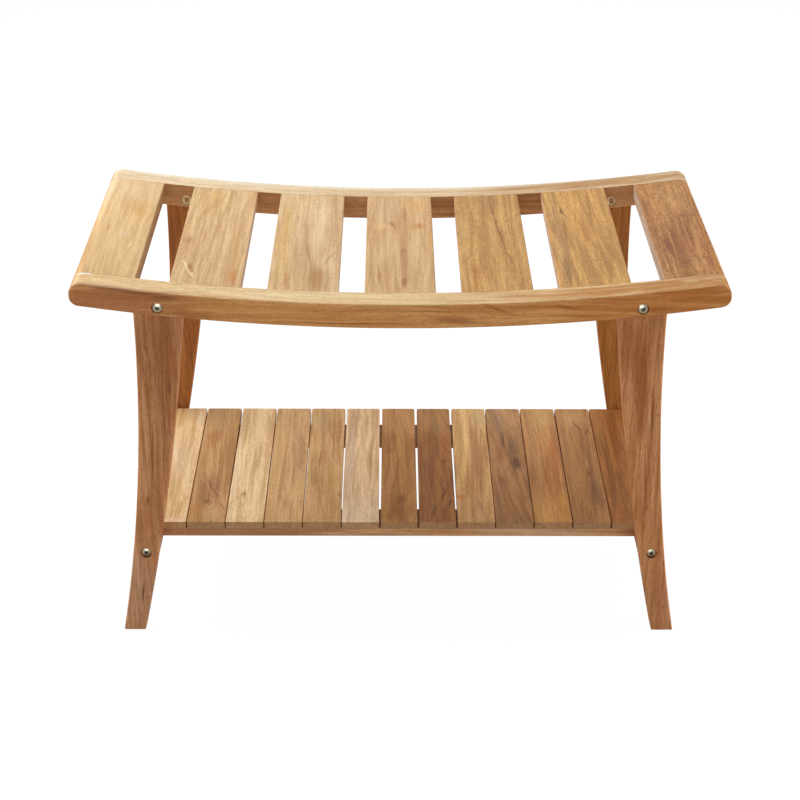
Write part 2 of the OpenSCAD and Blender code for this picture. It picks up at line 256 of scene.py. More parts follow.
@dataclass(frozen=True)
class OiledTeak:
    """Plain-sawn teak, sanded and oiled: honey to brown, fine dark pores and soft growth rings.

    Attributes:
        name: Name of the board.
        pale: Early wood.
        mid: The board's main tone.
        deep: Late wood, pores and dark streaks.
        grain: Which way the fibres run.
        rings: Contrast of the rings, from 0 to 1.
        streaks: Contrast of the broad streaks, from 0 to 1.
        pores: Contrast of the pores, from 0 to 1.
        fibres: Contrast of the fine fibres; 0.1 is about a tenth lighter and darker.
        specks: Share of short specks among the fibres.
        ring_mm: Mean width of a growth ring.
        pith_mm: Where the tree's heart lay, across and into the board, from its middle.
        lean: How much the heart's line leans, across and into the board, per millimetre of length.
        wander_mm: How far the rings and fibres wander.
        painted_side_shade: Painted shade that darkens and reddens the faces that stand upright, against the lit tops.
        end_tone: Tone of the cut ends.
        painted_side_light_and_shade: Painted light and shade that hides most of the board's own tone on its upright
            faces, if any.
        end_wash: Tone that hides most of the board's own on its cut ends, if any.
        stain: Factors on the red, green and blue of the whole board.
        slope: Degrees by which the fibres run askew to the board.
        seed: Shifts all the patterns, so that no two boards repeat.
        figures_and_painted_light: Patches, streaks and knots of this board, and patches of painted light and shade on
            it.
    """

    name: str
    pale: str
    mid: str
    deep: str
    grain: Grain = Grain.BENCH_DEPTH
    rings: float = 0.25
    streaks: float = 1.0
    pores: float = 0.5
    fibres: float = 0.095
    specks: float = 0.5
    ring_mm: float = 8.0
    pith_mm: Pair = (20.0, -70.0)
    lean: Pair = (0.02, 0.04)
    wander_mm: float = 3.0
    painted_side_shade: str = "#F6D8B8"
    end_tone: str = "#B9A594"
    painted_side_light_and_shade: str = ""
    end_wash: str = ""
    stain: Triple = (1.0, 1.0, 1.0)
    slope: float = 0.0
    seed: float = 0.0
    figures_and_painted_light: tuple[FigureOrPaintedLight, ...] = ()

    def build(self, centre: Vector) -> Material:
        """Builds the node material for a board.

        Args:
            centre: Middle of the board, in metres.

        Returns:
            The finished material.
        """
        material = fresh_material("oiled_teak_" + self.name)
        add = partial(add_node, material.node_tree)
        along, across, into = ("XYZ".index(axis) for axis in self.grain.value)

        # Object coordinates in millimetres, with the first axis along the fibres
        split = add("SeparateXYZ", add("TexCoord").outputs["Object"]).outputs
        turned = add("CombineXYZ", split[along], split[across], split[into])
        wood = add("VectorMath.MULTIPLY", turned, (1.0 / MM,) * 3)
        shifted = add("VectorMath.ADD", wood, apart(self.seed * SEED_STEP))

        # Slow wander of the fibres, which bends every pattern a little, and their slope across the board
        middle_mm = [centre[axis] / MM for axis in (along, across, into)]
        shear = -math.tan(math.radians(self.slope))
        wander = add("Math.SUBTRACT", Layer.WANDER.draw(add, shifted), 0.5)
        aside = add("Math.MULTIPLY", wander, self.wander_mm * WANDER_ACROSS)
        inwards = add("Math.MULTIPLY", wander, self.wander_mm * WANDER_INWARDS)
        askew = add("Math.ADD", aside, add("Math.MULTIPLY_ADD", split[along], shear / MM, -shear * middle_mm[0]))
        slant = add("CombineXYZ", 0.0, askew, inwards)
        bent = add("VectorMath.ADD", wood, add("CombineXYZ", 0.0, aside, inwards))
        grained = add("VectorMath.ADD", shifted, slant)

        # Streaks a few millimetres wide, and clouds as wide as a hand
        broad, cloud = Layer.STREAKS.draw(add, grained), Layer.CLOUDS.draw(add, grained)
        mixed = add("Math.MULTIPLY_ADD", broad, STREAK_PART, add("Math.MULTIPLY", cloud, CLOUD_PART))
        paler = add("Math.MULTIPLY", add("MapRange", mixed, *Span.PALE_WOOD.value, **SMOOTH), self.streaks)
        colour = add("Mix", into={0: paler, 6: self.dyed(self.mid), 7: self.dyed(self.pale)}, **COLOURS)

        # Patches and knots, and patches of painted light and shade, with edges that fray along the fibres
        fray = add("Math.MULTIPLY", add("Math.SUBTRACT", broad, 0.5), FRAY)
        reach = self.ring_reach(add, add("VectorMath.ADD", wood, slant), middle_mm)
        for marking in self.figures_and_painted_light:
            mask = add("Math.MULTIPLY", self.spot(add, bent, marking, fray), marking.strength)
            colour = add("Mix", into={0: mask, 6: colour, 7: self.dyed(marking.colour)}, **COLOURS)
            if marking.swirl_mm:
                push = add("Math.MULTIPLY", self.spot(add, bent, marking, 0.0, SWIRL_REACH), marking.swirl_mm)
                reach = add("Math.ADD", reach, push)

        # Growth rings fade in and out along the board
        fade = add("MapRange", cloud, *Span.RING_FADE.value, **SMOOTH)
        late = add("Math.MULTIPLY", add("Math.MULTIPLY", self.late_wood(add, reach), fade), self.rings * RING_DEPTH)
        shaded = add("Mix", into={0: LATE_SHARE, 6: colour, 7: self.dyed(self.deep)}, **COLOURS)
        colour = add("Mix", into={0: late, 6: colour, 7: shaded}, **COLOURS)

        # Fibres, veins and specks shade the wood, and pores are dark dashes in it
        fibre = Layer.FIBRES.draw(add, grained)
        mottle = add("Math.MULTIPLY", fibre, FIBRE_PART)
        mottle = add("Math.MULTIPLY_ADD", Layer.VEINS.draw(add, grained), VEIN_PART, mottle)
        mottle = add("Math.MULTIPLY_ADD", Layer.SPECKS.draw(add, grained), self.specks, mottle)
        middle = (FIBRE_PART + VEIN_PART + self.specks) / 2
        fine = add("MapRange", mottle, middle - 0.12, middle + 0.11, 1.0 - self.fibres * FIBRE_DARK, 1.0 + self.fibres,
                   **SMOOTH)
        coarse = add("MapRange", mixed, 0.38, 0.6, 1.0 - self.streaks * STREAK_DARK, 1.0 + self.streaks * STREAK_BRIGHT,
                     **SMOOTH)
        shade = add("Math.MULTIPLY", fine, coarse)
        warm = self.warm(add, shade)
        colour = add("Mix", into={0: 1.0, 6: colour, 7: warm}, blend_type="MULTIPLY", **COLOURS)
        pore = add("MapRange", Layer.PORES.draw(add, grained), *Span.PORES.value, **SMOOTH)
        colour = add("Mix", into={0: add("Math.MULTIPLY", pore, self.pores), 6: colour, 7: shaded}, **COLOURS)

        # Cut ends take a tone of their own; upright faces take painted shade, and painted light and shade where a board
        # has it
        normal = add("SeparateXYZ", add("NewGeometry").outputs["Normal"]).outputs
        end = add("MapRange", add("Math.ABSOLUTE", normal[along]), *Span.END_FACE.value, **SMOOTH)
        flat = add("MapRange", add("Math.ABSOLUTE", normal[2]), *Span.FLAT_FACE.value, **SMOOTH)
        upright = add("Math.MULTIPLY", add("Math.SUBTRACT", 1.0, end), add("Math.SUBTRACT", 1.0, flat))
        colour = self.tone_and_painted_light(add, upright, colour, colour, self.painted_side_shade)
        colour = self.tone_and_painted_light(add, end, colour, colour, self.end_tone)
        # The upright faces' wash is painted light and shade; the cut ends' wash is their own tone
        for share, wash in ((upright, self.painted_side_light_and_shade), (end, self.end_wash)):
            if wash:
                colour = self.tone_and_painted_light(add, add("Math.MULTIPLY", share, WASH_SHARE), colour, warm, wash)

        # The sheen is a little duller along the pores, and the pores are faint dents
        dents = add("Math.SUBTRACT", add("Math.MULTIPLY", fibre, FIBRE_PART), pore)
        add("OutputMaterial", add("BsdfPrincipled", into={
            "Base Color": colour, "IOR": 1.5, "Specular IOR Level": 0.15,
            "Roughness": add("MapRange", fibre, *Span.SHEEN.value, **SMOOTH),
            "Normal": add("Bump", into={"Strength": 0.3, "Distance": 0.00025, "Height": dents})}))
        return material

    def dyed(self, code: str) -> tuple[float, ...]:
        """Turns a hex colour into linear values under the board's stain."""
        return tuple(min(1.0, part * share) for part, share in zip(rgba(code), (*self.stain, 1.0)))

    def ring_reach(self, add: Adder, wood: Value, middle_mm: list[float]) -> Node:
        """Distance of a point from the leaning heart of the tree, in millimetres.

        Args:
            add: Adds a node to the material.
            wood: Wood coordinates in millimetres.
            middle_mm: Middle of the board, along, across and into it.

        Returns:
            The distance.
        """
        parts = add("SeparateXYZ", wood).outputs
        squares = []
        for axis, (lean, pith) in enumerate(zip(self.lean, self.pith_mm), 1):
            away = add("Math.MULTIPLY_ADD", parts[0], -lean, lean * middle_mm[0] - (pith + middle_mm[axis]))
            away = add("Math.ADD", away, parts[axis])
            squares.append(add("Math.MULTIPLY", away, away))
        return add("Math.SQRT", add("Math.ADD", *squares))

    def late_wood(self, add: Adder, reach: Node) -> Node:
        """Mask of the late wood: it darkens slowly across each ring and ends sharply.

        Args:
            add: Adds a node to the material.
            reach: Distance from the heart of the tree, in millimetres.

        Returns:
            The mask.
        """
        uneven = add("TexNoise", into={
            "W": add("Math.MULTIPLY_ADD", reach, 0.8 / self.ring_mm, self.seed), "Detail": 1.0}, noise_dimensions="1D")
        count = add("Math.MULTIPLY_ADD", uneven, RING_UNEVEN, add("Math.DIVIDE", reach, self.ring_mm))
        share = add("Math.FRACT", count)
        rise = add("MapRange", share, *Span.RING_RISE.value, **SMOOTH)
        fall = add("MapRange", share, *Span.RING_END.value, **SMOOTH)
        return add("Math.MULTIPLY", add("Math.POWER", rise, RING_SHARPNESS), fall)

    @staticmethod
    def spot(add: Adder, wood: Node, marking: FigureOrPaintedLight, fray: Value, grow: float = 1.0) -> Node:
        """Soft mask of a figure, from 1 at its middle to 0 outside it.

        Args:
            add: Adds a node to the board's material.
            wood: Bent wood coordinates in millimetres.
            marking: The figure to draw.
            fray: How far its edge is pushed in or out, as a share of its size.
            grow: Factor on its size.

        Returns:
            The mask.
        """
        local = add("Mapping", vector_type="TEXTURE", into={
            "Vector": wood, "Location": (marking.along, marking.across, marking.depth[0]),
            "Rotation": (0.0, 0.0, math.radians(marking.turn)),
            "Scale": (marking.half_along * grow, marking.half_across * grow, marking.depth[1])})
        away = add("Math.ADD", add("VectorMath.LENGTH", local), fray)
        return add("MapRange", away, 1.0 - marking.soft, 1.0 + 0.35 * marking.soft, 1.0, 0.0, **SMOOTH)

    @staticmethod
    def warm(add: Adder, shade: Node) -> Node:
        """Turns a brightness into a colour that is more orange the darker it is, as oiled teak is."""
        return add("CombineColor", add("Math.POWER", shade, 0.8), shade, add("Math.POWER", shade, 1.35))

    @staticmethod
    def tone_and_painted_light(add: Adder, share: Node, colour: Node, under: Node, tone: str) -> Node:
        """Takes a share of a colour over to a second one under a tone: the cut ends' own tone, and painted light and
        shade on upright faces.

        Args:
            add: Adds a node to the board's material.
            share: How much is taken over, from 0 to 1.
            colour: What the wood looks like so far.
            under: Colour under the wash.
            tone: sRGB hex colour of the wash.

        Returns:
            The new colour.
        """
        wash = add("Mix", into={0: 1.0, 6: under, 7: rgba(tone)}, blend_type="MULTIPLY", **COLOURS)
        return add("Mix", into={0: share, 6: colour, 7: wash}, **COLOURS)


@dataclass(frozen=True)
class TurnedSteel:
    """Zinc-plated steel, turned on a lathe: a warm silver with fine rings round the axis."""

    name: str = "zinc_plated_steel"
    tone: str = "#F4EED2"
    tarnish: str = "#C6B88E"
    roughness: float = 0.22

    def build(self) -> Material:
        """Builds the node material of the bolts, nuts and screws.

        Returns:
            The finished material.
        """
        material = fresh_material(self.name)
        add = partial(add_node, material.node_tree)
        place = add("TexCoord").outputs["Object"]
        blotch = add("TexNoise", into={"Vector": place, "Scale": 260.0, "Detail": 3.0})
        fine = add("TexNoise", into={"Vector": place, "Scale": 1800.0, "Detail": 2.0})
        share = add("MapRange", blotch, 0.45, 0.75, 0.0, 0.7)
        add("OutputMaterial", add("BsdfPrincipled", into={
            "Base Color": add("Mix", into={0: share, 6: rgba(self.tone), 7: rgba(self.tarnish)}, **COLOURS),
            "Metallic": 1.0,
            "Roughness": add("MapRange", fine, 0.3, 0.7, self.roughness - 0.06, self.roughness + 0.1),
            "Normal": add("Bump", into={"Strength": 0.15, "Distance": 0.00005, "Height": fine})}))
        return material


# ---------------------------------------------------------------- mesh tools


class Outline:
    """A flat outline that grows point by point and arc by arc, and becomes a solid."""

    def __init__(self, start: Vector, axis: Vector = Y_AXIS) -> None:
        """Starts an outline at a point of a new mesh.

        Args:
            start: First point.
            axis: Axis that the arcs turn about.
        """
        self.mesh = bmesh.new()
        self.axis = axis
        self.first = self.last = self.mesh.verts.new(start)

    def line_to(self, end: Vector) -> None:
        """Adds a straight edge.

        Args:
            end: Where the edge ends.
        """
        vert = self.mesh.verts.new(end)
        self.mesh.edges.new((self.last, vert))
        self.last = vert

    def arc_to(self, hub: Vector, end: Vector, steps: int) -> None:
        """Adds an arc round a hub, by spinning the last point to an end that is as far from the hub.

        Args:
            hub: Centre of the arc.
            end: Where the arc ends.
            steps: Number of edges in it.
        """
        before, after = self.last.co - hub, end - hub
        angle = math.atan2(self.axis.dot(before.cross(after)), before.dot(after))
        turned = bmesh.ops.spin(
            self.mesh, geom=[self.last], cent=hub, axis=self.axis, angle=angle, steps=steps, use_duplicate=False)
        self.last = next(g for g in turned["geom_last"] if isinstance(g, bmesh.types.BMVert))
        self.last.co = end

    @classmethod
    def through(cls, *points: Pair) -> "Outline":
        """Starts a profile to be turned, through pairs of a place along Y and a distance from that axis.

        Args:
            *points: The pairs, in metres.

        Returns:
            The outline.
        """
        first, *others = (Vector((0, y, radius)) for y, radius in points)
        outline = cls(first, X_AXIS)
        for point in others:
            outline.line_to(point)
        return outline

    def close(self) -> bmesh.types.BMFace:
        """Joins the ends and fills the outline with a face.

        Returns:
            The face.
        """
        if (self.last.co - self.first.co).length < WELD:
            bmesh.ops.pointmerge(self.mesh, verts=[self.first, self.last], merge_co=self.first.co)
        else:
            self.mesh.edges.new((self.last, self.first))
        return bmesh.ops.contextual_create(self.mesh, geom=self.mesh.edges[:])["faces"][0]

    def pulled(self, depth: float) -> Mesh:
        """Fills the outline and pulls it along Y into a solid.

        Args:
            depth: How far it is pulled.

        Returns:
            The solid, with its faces outwards.
        """
        pulled = bmesh.ops.extrude_face_region(self.mesh, geom=[self.close()])["geom"]
        verts = [g for g in pulled if isinstance(g, bmesh.types.BMVert)]
        bmesh.ops.translate(self.mesh, vec=Y_AXIS * depth, verts=verts)
        bmesh.ops.recalc_face_normals(self.mesh, faces=self.mesh.faces)
        return self.mesh

    def turned(self) -> Mesh:
        """Turns the outline round the Y axis, as on a lathe.

        Returns:
            The solid, with its faces outwards.
        """
        mesh = self.mesh
        bmesh.ops.spin(mesh, geom=mesh.verts[:] + mesh.edges[:], cent=(0, 0, 0), axis=Y_AXIS, angle=math.tau,
                       steps=ROUND_SIDES, use_merge=True, use_duplicate=False)
        bmesh.ops.remove_doubles(mesh, verts=mesh.verts, dist=WELD)
        bmesh.ops.recalc_face_normals(mesh, faces=mesh.faces)
        return mesh


def ease_edges(mesh: Mesh, width: float, chosen: Callable[[Edge], bool], steps: int = 3) -> None:
    """Rounds the chosen edges of a mesh.

    Args:
        mesh: Mesh to change.
        width: Size of the rounding.
        chosen: Tells which edges are rounded.
        steps: Facets of the rounding.
    """
    edges = [e for e in mesh.edges if chosen(e)]
    bmesh.ops.bevel(mesh, geom=edges, offset=width, offset_type="OFFSET", affect="EDGES", segments=steps,
                    profile=0.5, material=-1, clamp_overlap=True)


def level(edge: Edge, axis: int, value: float) -> bool:
    """Tells whether both ends of an edge have the same given coordinate."""
    return all(abs(v.co[axis] - value) < WELD for v in edge.verts)


def at_end(edge: Edge, axis: int, half: float) -> bool:
    """Tells whether an edge lies in either end of a board of a given half length."""
    return level(edge, axis, half) or level(edge, axis, -half)


def rise(edge: Edge) -> float:
    """Gives the height between the ends of an edge."""
    return abs(edge.verts[0].co.z - edge.verts[1].co.z)


def block(size: Triple, middle: Vector = Vector()) -> Mesh:
    """Makes a box of a given size round a point.

    Args:
        size: Length of the box along X, Y and Z.
        middle: Where its middle lies.

    Returns:
        The new mesh.
    """
    mesh = bmesh.new()
    bmesh.ops.create_cube(mesh, size=1.0)
    bmesh.ops.scale(mesh, vec=size, verts=mesh.verts)
    bmesh.ops.translate(mesh, vec=middle, verts=mesh.verts)
    return mesh


def eased_block(size: Triple, middle: Vector, long_ease: float, end_ease: float, long_axis: int) -> Mesh:
    """Makes a sawn bar with eased edges.

    Args:
        size: Length of the bar along X, Y and Z.
        middle: Where its middle lies.
        long_ease: Rounding of the edges along the bar.
        end_ease: Rounding of the edges round its ends.
        long_axis: Number of the axis that the bar lies along.

    Returns:
        The new mesh.
    """
    mesh = block(size)
    half = size[long_axis] / 2
    ease_edges(mesh, long_ease, lambda e: not at_end(e, long_axis, half))
    ease_edges(mesh, end_ease, lambda e: at_end(e, long_axis, half), steps=2)
    bmesh.ops.translate(mesh, vec=middle, verts=mesh.verts)
    return mesh


def peg(radius: float, start: Vector, end: Vector, flare: float = 0.0, sides: int = ROUND_SIDES) -> Mesh:
    """Makes a cylinder between two points.

    Args:
        radius: Radius at the start.
        start: Middle of its first face.
        end: Middle of its last face.
        flare: How much wider the end is than the start.
        sides: Facets round it.

    Returns:
        The new mesh.
    """
    mesh = bmesh.new()
    run = end - start
    place = Matrix.Translation((start + end) / 2) @ run.to_track_quat("Z", "Y").to_matrix().to_4x4()
    bmesh.ops.create_cone(mesh, cap_ends=True, segments=sides, radius1=radius, radius2=radius + flare,
                          depth=run.length, matrix=place)
    return mesh


def joined(meshes: list[Mesh]) -> Mesh:
    """Joins several meshes into one and frees them.

    Args:
        meshes: Meshes to join.

    Returns:
        The new mesh.
    """
    whole = bmesh.new()
    for mesh in meshes:
        part = bpy.data.meshes.new("part")
        mesh.to_mesh(part)
        mesh.free()
        whole.from_mesh(part)
        bpy.data.meshes.remove(part)
    return whole


def moved(mesh: Mesh, place: Matrix) -> Mesh:
    """Returns a moved copy of a mesh, with its faces outwards.

    Args:
        mesh: Mesh to copy.
        place: Where the copy goes.

    Returns:
        The copy.
    """
    copy = mesh.copy()
    bmesh.ops.transform(copy, matrix=place, verts=copy.verts)
    bmesh.ops.recalc_face_normals(copy, faces=copy.faces)
    return copy


def to_object(name: str, mesh: Mesh) -> Object:
    """Turns a mesh into an object at the origin and frees it.

    Args:
        name: Name of the object.
        mesh: Its mesh.

    Returns:
        The new object.
    """
    data = bpy.data.meshes.new(name)
    mesh.to_mesh(data)
    mesh.free()
    piece = bpy.data.objects.new(name, data)
    bpy.context.scene.collection.objects.link(piece)
    return piece


def carve(piece: Object, cutter: Mesh) -> None:
    """Cuts a shape out of a piece for good, and frees the shape.

    Args:
        piece: Piece to cut.
        cutter: Shape to take away.
    """
    tool = to_object("cutter", cutter)
    cut = piece.modifiers.new("cut", "BOOLEAN")
    cut.operation, cut.solver, cut.object = "DIFFERENCE", "EXACT", tool
    bpy.context.view_layer.update()
    done = bpy.data.meshes.new_from_object(piece.evaluated_get(bpy.context.evaluated_depsgraph_get()))
    piece.modifiers.remove(cut)
    old, piece.data = piece.data, done
    done.name = piece.name
    bpy.data.meshes.remove(old)
    bpy.data.objects.remove(tool)


def carved(name: str, mesh: Mesh, *cutters: Mesh) -> Mesh:
    """Cuts shapes out of a small part that has no object of its own yet.

    Args:
        name: Name of the part.
        mesh: Its mesh, which is freed.
        *cutters: Shapes to take away.

    Returns:
        The mesh after the cuts.
    """
    part = to_object(name, mesh)
    for cutter in cutters:
        carve(part, cutter)
    cut = bmesh.new()
    cut.from_mesh(part.data)
    bpy.data.objects.remove(part)
    return cut


def finish_piece(
    piece: Object, material: Material, nodes: tuple[str, ...], sharp: float = 40.0,
    second: Optional[Material] = None
) -> None:
    """Shades a piece, dresses it and puts it in the place of its solids.

    Args:
        piece: The finished mesh object.
        material: Its material.
        nodes: Solids that it stands for.
        sharp: Angle in degrees past which an edge stays sharp.
        second: Material of the faces numbered 1, if there are any.
    """
    piece.data.shade_smooth()
    piece.data.set_sharp_from_angle(angle=math.radians(sharp))
    weighted = piece.modifiers.new("weighted_normals", "WEIGHTED_NORMAL")
    weighted.keep_sharp = True
    numbers = [face.material_index for face in piece.data.polygons]
    piece.data.materials.clear()
    piece.data.materials.append(material)
    if second and any(numbers):
        piece.data.materials.append(second)
        piece.data.polygons.foreach_set("material_index", numbers)
    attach(piece, BODY)
    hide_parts(*nodes)
    LOG.info("%s: %d faces", piece.name, len(piece.data.polygons))


# ---------------------------------------------------------------- the bench's shape


@dataclass(frozen=True)
class SaddleCurve:
    """The hollow of the seat: the two long arcs of a rail and its rounded ends."""

    half_length: float = 0.360
    seat_height: float = 0.437
    seat_radius: float = 2.480
    rail_height: float = 0.029
    end_height: float = 0.0275
    top_round: float = 0.013
    under_round: float = 0.011
    top_steps: int = 10
    under_steps: int = 9
    long_steps: int = 96

    @property
    def top_hub(self) -> Vector:
        """Centre of the seat's long arc."""
        return Vector((0.0, 0.0, self.seat_height + self.seat_radius))

    @property
    def under_radius(self) -> float:
        """Radius of the rail's underside."""
        sag = self.top(self.half_length) - self.seat_height + self.rail_height - self.end_height
        return (self.half_length ** 2 + sag ** 2) / (2 * sag)

    @property
    def under_hub(self) -> Vector:
        """Centre of the arc of the rail's underside."""
        return Vector((0.0, 0.0, self.seat_height - self.rail_height + self.under_radius))

    def top(self, x: float) -> float:
        """Height of the seat at a place along the bench."""
        return self.seat_height + self.seat_radius - math.sqrt(self.seat_radius ** 2 - x ** 2)

    def under(self, x: float) -> float:
        """Height of the rail's underside at a place along the bench."""
        return self.under_hub.z - math.sqrt(self.under_radius ** 2 - x ** 2)

    def round_end(self, outline: Outline, side: Side, y: float) -> None:
        """Draws the rounded end of a rail, from the top of the seat down to the underside.

        Args:
            outline: Outline whose last point is where the top rounding starts.
            side: Which end.
            y: Depth of the outline's plane.
        """
        top_middle, _, under_middle, under_start = self.corner_points(side, y)
        outline.arc_to(top_middle, top_middle + X_AXIS * side.value * self.top_round, self.top_steps)
        outline.line_to(under_middle + X_AXIS * side.value * self.under_round)
        outline.arc_to(under_middle, under_start, self.under_steps)

    def corner_points(self, side: Side, y: float) -> tuple[Vector, Vector, Vector, Vector]:
        """Works out the roundings of one end.

        Args:
            side: Which end.
            y: Depth of the points.

        Returns:
            Middle of the top rounding and where it starts on the seat, and the same for the under one.
        """
        top_hub, under_hub = self.top_hub + Y_AXIS * y, self.under_hub + Y_AXIS * y
        x = self.half_length - self.top_round
        drop = math.sqrt((self.seat_radius + self.top_round) ** 2 - x ** 2)
        top_middle = Vector((side.value * x, y, top_hub.z - drop))
        towards = (top_hub - top_middle).normalized()
        x = self.half_length - self.under_round
        drop = math.sqrt((self.under_radius - self.under_round) ** 2 - x ** 2)
        under_middle = Vector((side.value * x, y, under_hub.z - drop))
        away = (under_middle - under_hub).normalized()
        return top_middle, top_middle + towards * self.top_round, under_middle, under_middle + away * self.under_round


CURVE = SaddleCurve()


@dataclass
class Joinery:
    """Boards that are built and dressed alike.

    Attributes:
        finishes: Finish of each board, by its name.
        head_hole_radius: Counterbore for a bolt's head.
        over: How far a cutter reaches past the wood.
    """

    finishes: dict[str, OiledTeak] = field(default_factory=dict)
    head_hole_radius: float = 0.0065
    over: float = 0.002

    def add_board(self, name: str, mesh: Mesh, centre: Vector, slot: str, *cutters: Mesh, node: str = "") -> None:
        """Cuts a board's holes, dresses it and puts it in the place of its solid.

        Args:
            name: Name of its finish, and of the solid that it stands for.
            mesh: Its shape without its holes.
            centre: Where its figure is centred.
            slot: Name of a material slot; not used.
            *cutters: Shapes of its holes.
            node: Name of the solid, where it differs.
        """
        piece = to_object(f"teak_{name}", mesh)
        for cutter in cutters:
            carve(piece, cutter)
        finish_piece(piece, self.finishes[name].build(centre), (node or name,))


@dataclass
class Seat(Joinery):
    """The saddle seat: two curved rails, two end boards and five slats let in between them."""

    rail_outer_y: float = 0.170
    rail_thickness: float = 0.031
    ease: float = 0.0018
    joint_ease: float = 0.0004
    slat_count: int = 5
    slat_width: float = 0.079
    slat_thickness: float = 0.016
    slat_pitch: float = 0.1075
    end_board_width: float = 0.069
    end_board_thickness: float = 0.017
    end_board_steps: int = 8
    bolt_x: float = 0.26475
    bolt_rise: float = 0.009
    bolt_sink: float = 0.0032
    sleeve_sink: float = 0.0005
    nut_hole_radius: float = 0.00635
    nut_flange: float = 0.0015
    rail_centre_y: float = 0.1545
    rail_centre_z: float = 0.43
    end_board_ease: float = 0.0015
    end_board_centre_x: float = 0.325
    end_board_centre_z: float = 0.452
    slat_ease: float = 0.0016
    fitted_ease: float = 0.00015

    @property
    def inner_y(self) -> float:
        """Distance of the rails' inner faces from the middle."""
        return self.rail_outer_y - self.rail_thickness

    @property
    def bolt_z(self) -> float:
        """Height of the seat bolts."""
        return CURVE.under(self.bolt_x) + self.bolt_rise

    def build(self) -> None:
        """Builds and dresses the whole seat."""
        for end in End:
            self.rail(end)
        for side in Side:
            self.end_board(side)
        for number in range(1, self.slat_count + 1):
            self.slat(number)

    def rail(self, end: End) -> None:
        """Builds one curved rail with the holes for its bolts and nuts.

        Args:
            end: Front or back.
        """
        outer_y, inner_y = end.value * self.rail_outer_y, end.value * self.inner_y
        start_y = min(outer_y, inner_y)
        left, right = (CURVE.corner_points(side, start_y) for side in Side)
        outline = Outline(left[1])
        outline.arc_to(CURVE.top_hub + Y_AXIS * start_y, right[1], CURVE.long_steps)
        CURVE.round_end(outline, Side.RIGHT, start_y)
        outline.arc_to(CURVE.under_hub + Y_AXIS * start_y, left[3], CURVE.long_steps)
        outline.arc_to(left[2], left[2] - X_AXIS * CURVE.under_round, CURVE.under_steps)
        outline.line_to(left[0] - X_AXIS * CURVE.top_round)
        outline.arc_to(left[0], left[1], CURVE.top_steps)
        mesh = outline.pulled(self.rail_thickness)
        ease_edges(mesh, self.ease, lambda e: level(e, 1, outer_y))
        ease_edges(mesh, self.joint_ease, lambda e: level(e, 1, inner_y), steps=1)
        out, holes = Y_AXIS * end.value, []
        for side in Side:
            middle = Vector((side.value * self.bolt_x, 0, self.bolt_z))
            head = middle + out * (self.rail_outer_y - self.bolt_sink)
            flange = middle + out * (self.inner_y + self.sleeve_sink + self.nut_flange)
            holes.append(peg(self.head_hole_radius, head, middle + out * (self.rail_outer_y + self.over)))
            holes.append(peg(self.nut_hole_radius, middle + out * (self.inner_y - self.over), flange))
        name = f"rail_{end.name.lower()}"
        centre = Vector((0, end.value * self.rail_centre_y, self.rail_centre_z))
        self.add_board(name, mesh, centre, "teak_seat_rail", *holes, node=f"seat_{name}")

    def end_board(self, side: Side) -> None:
        """Builds the board at one end of the seat, rounded like the rails' ends.

        Args:
            side: Which end.
        """
        y, end_x = self.inner_y, side.value * CURVE.half_length
        inner_x = end_x - side.value * self.end_board_width
        round_hub, start = CURVE.corner_points(side, -y)[:2]
        hub = CURVE.top_hub - Y_AXIS * y
        low = self.end_board_under(end_x)
        outline = Outline(Vector((inner_x, -y, CURVE.top(inner_x))))
        outline.arc_to(hub, start, self.end_board_steps)
        outline.arc_to(round_hub, round_hub + X_AXIS * side.value * CURVE.top_round, CURVE.top_steps)
        outline.line_to(Vector((end_x, -y, low)))
        outline.arc_to(hub, Vector((inner_x, -y, self.end_board_under(inner_x))), self.end_board_steps)
        mesh = outline.pulled(2 * y)
        ease_edges(mesh, self.end_board_ease, lambda e: not at_end(e, 1, y) and (
            level(e, 0, inner_x) or (level(e, 0, end_x) and level(e, 2, low))))
        ease_edges(mesh, self.fitted_ease, lambda e: at_end(e, 1, y), steps=1)
        name = f"end_board_{side.name.lower()}"
        centre = Vector((side.value * self.end_board_centre_x, 0, self.end_board_centre_z))
        self.add_board(name, mesh, centre, "teak_seat_board", node=f"seat_{name}")

    def end_board_under(self, x: float) -> float:
        """Height of the end boards' underside, which runs level with their top."""
        return CURVE.top_hub.z - math.sqrt((CURVE.seat_radius + self.end_board_thickness) ** 2 - x ** 2)

    def slat(self, number: int) -> None:
        """Builds one seat slat, flat and tangent to the hollow.

        Args:
            number: Its number, from 1 on the left.
        """
        x = (number - (self.slat_count + 1) / 2) * self.slat_pitch
        size = (self.slat_width, 2 * self.inner_y, self.slat_thickness)
        mesh = eased_block(size, Z_AXIS * -self.slat_thickness / 2, self.slat_ease, self.fitted_ease, 1)
        centre = Vector((x, 0, CURVE.top(x)))
        lean = Matrix.Rotation(-math.asin(x / CURVE.seat_radius), 4, "Y")
        bmesh.ops.transform(mesh, matrix=Matrix.Translation(centre) @ lean, verts=mesh.verts)
        self.add_board(f"seat_slat_{number}", mesh, centre, "teak_seat_board")


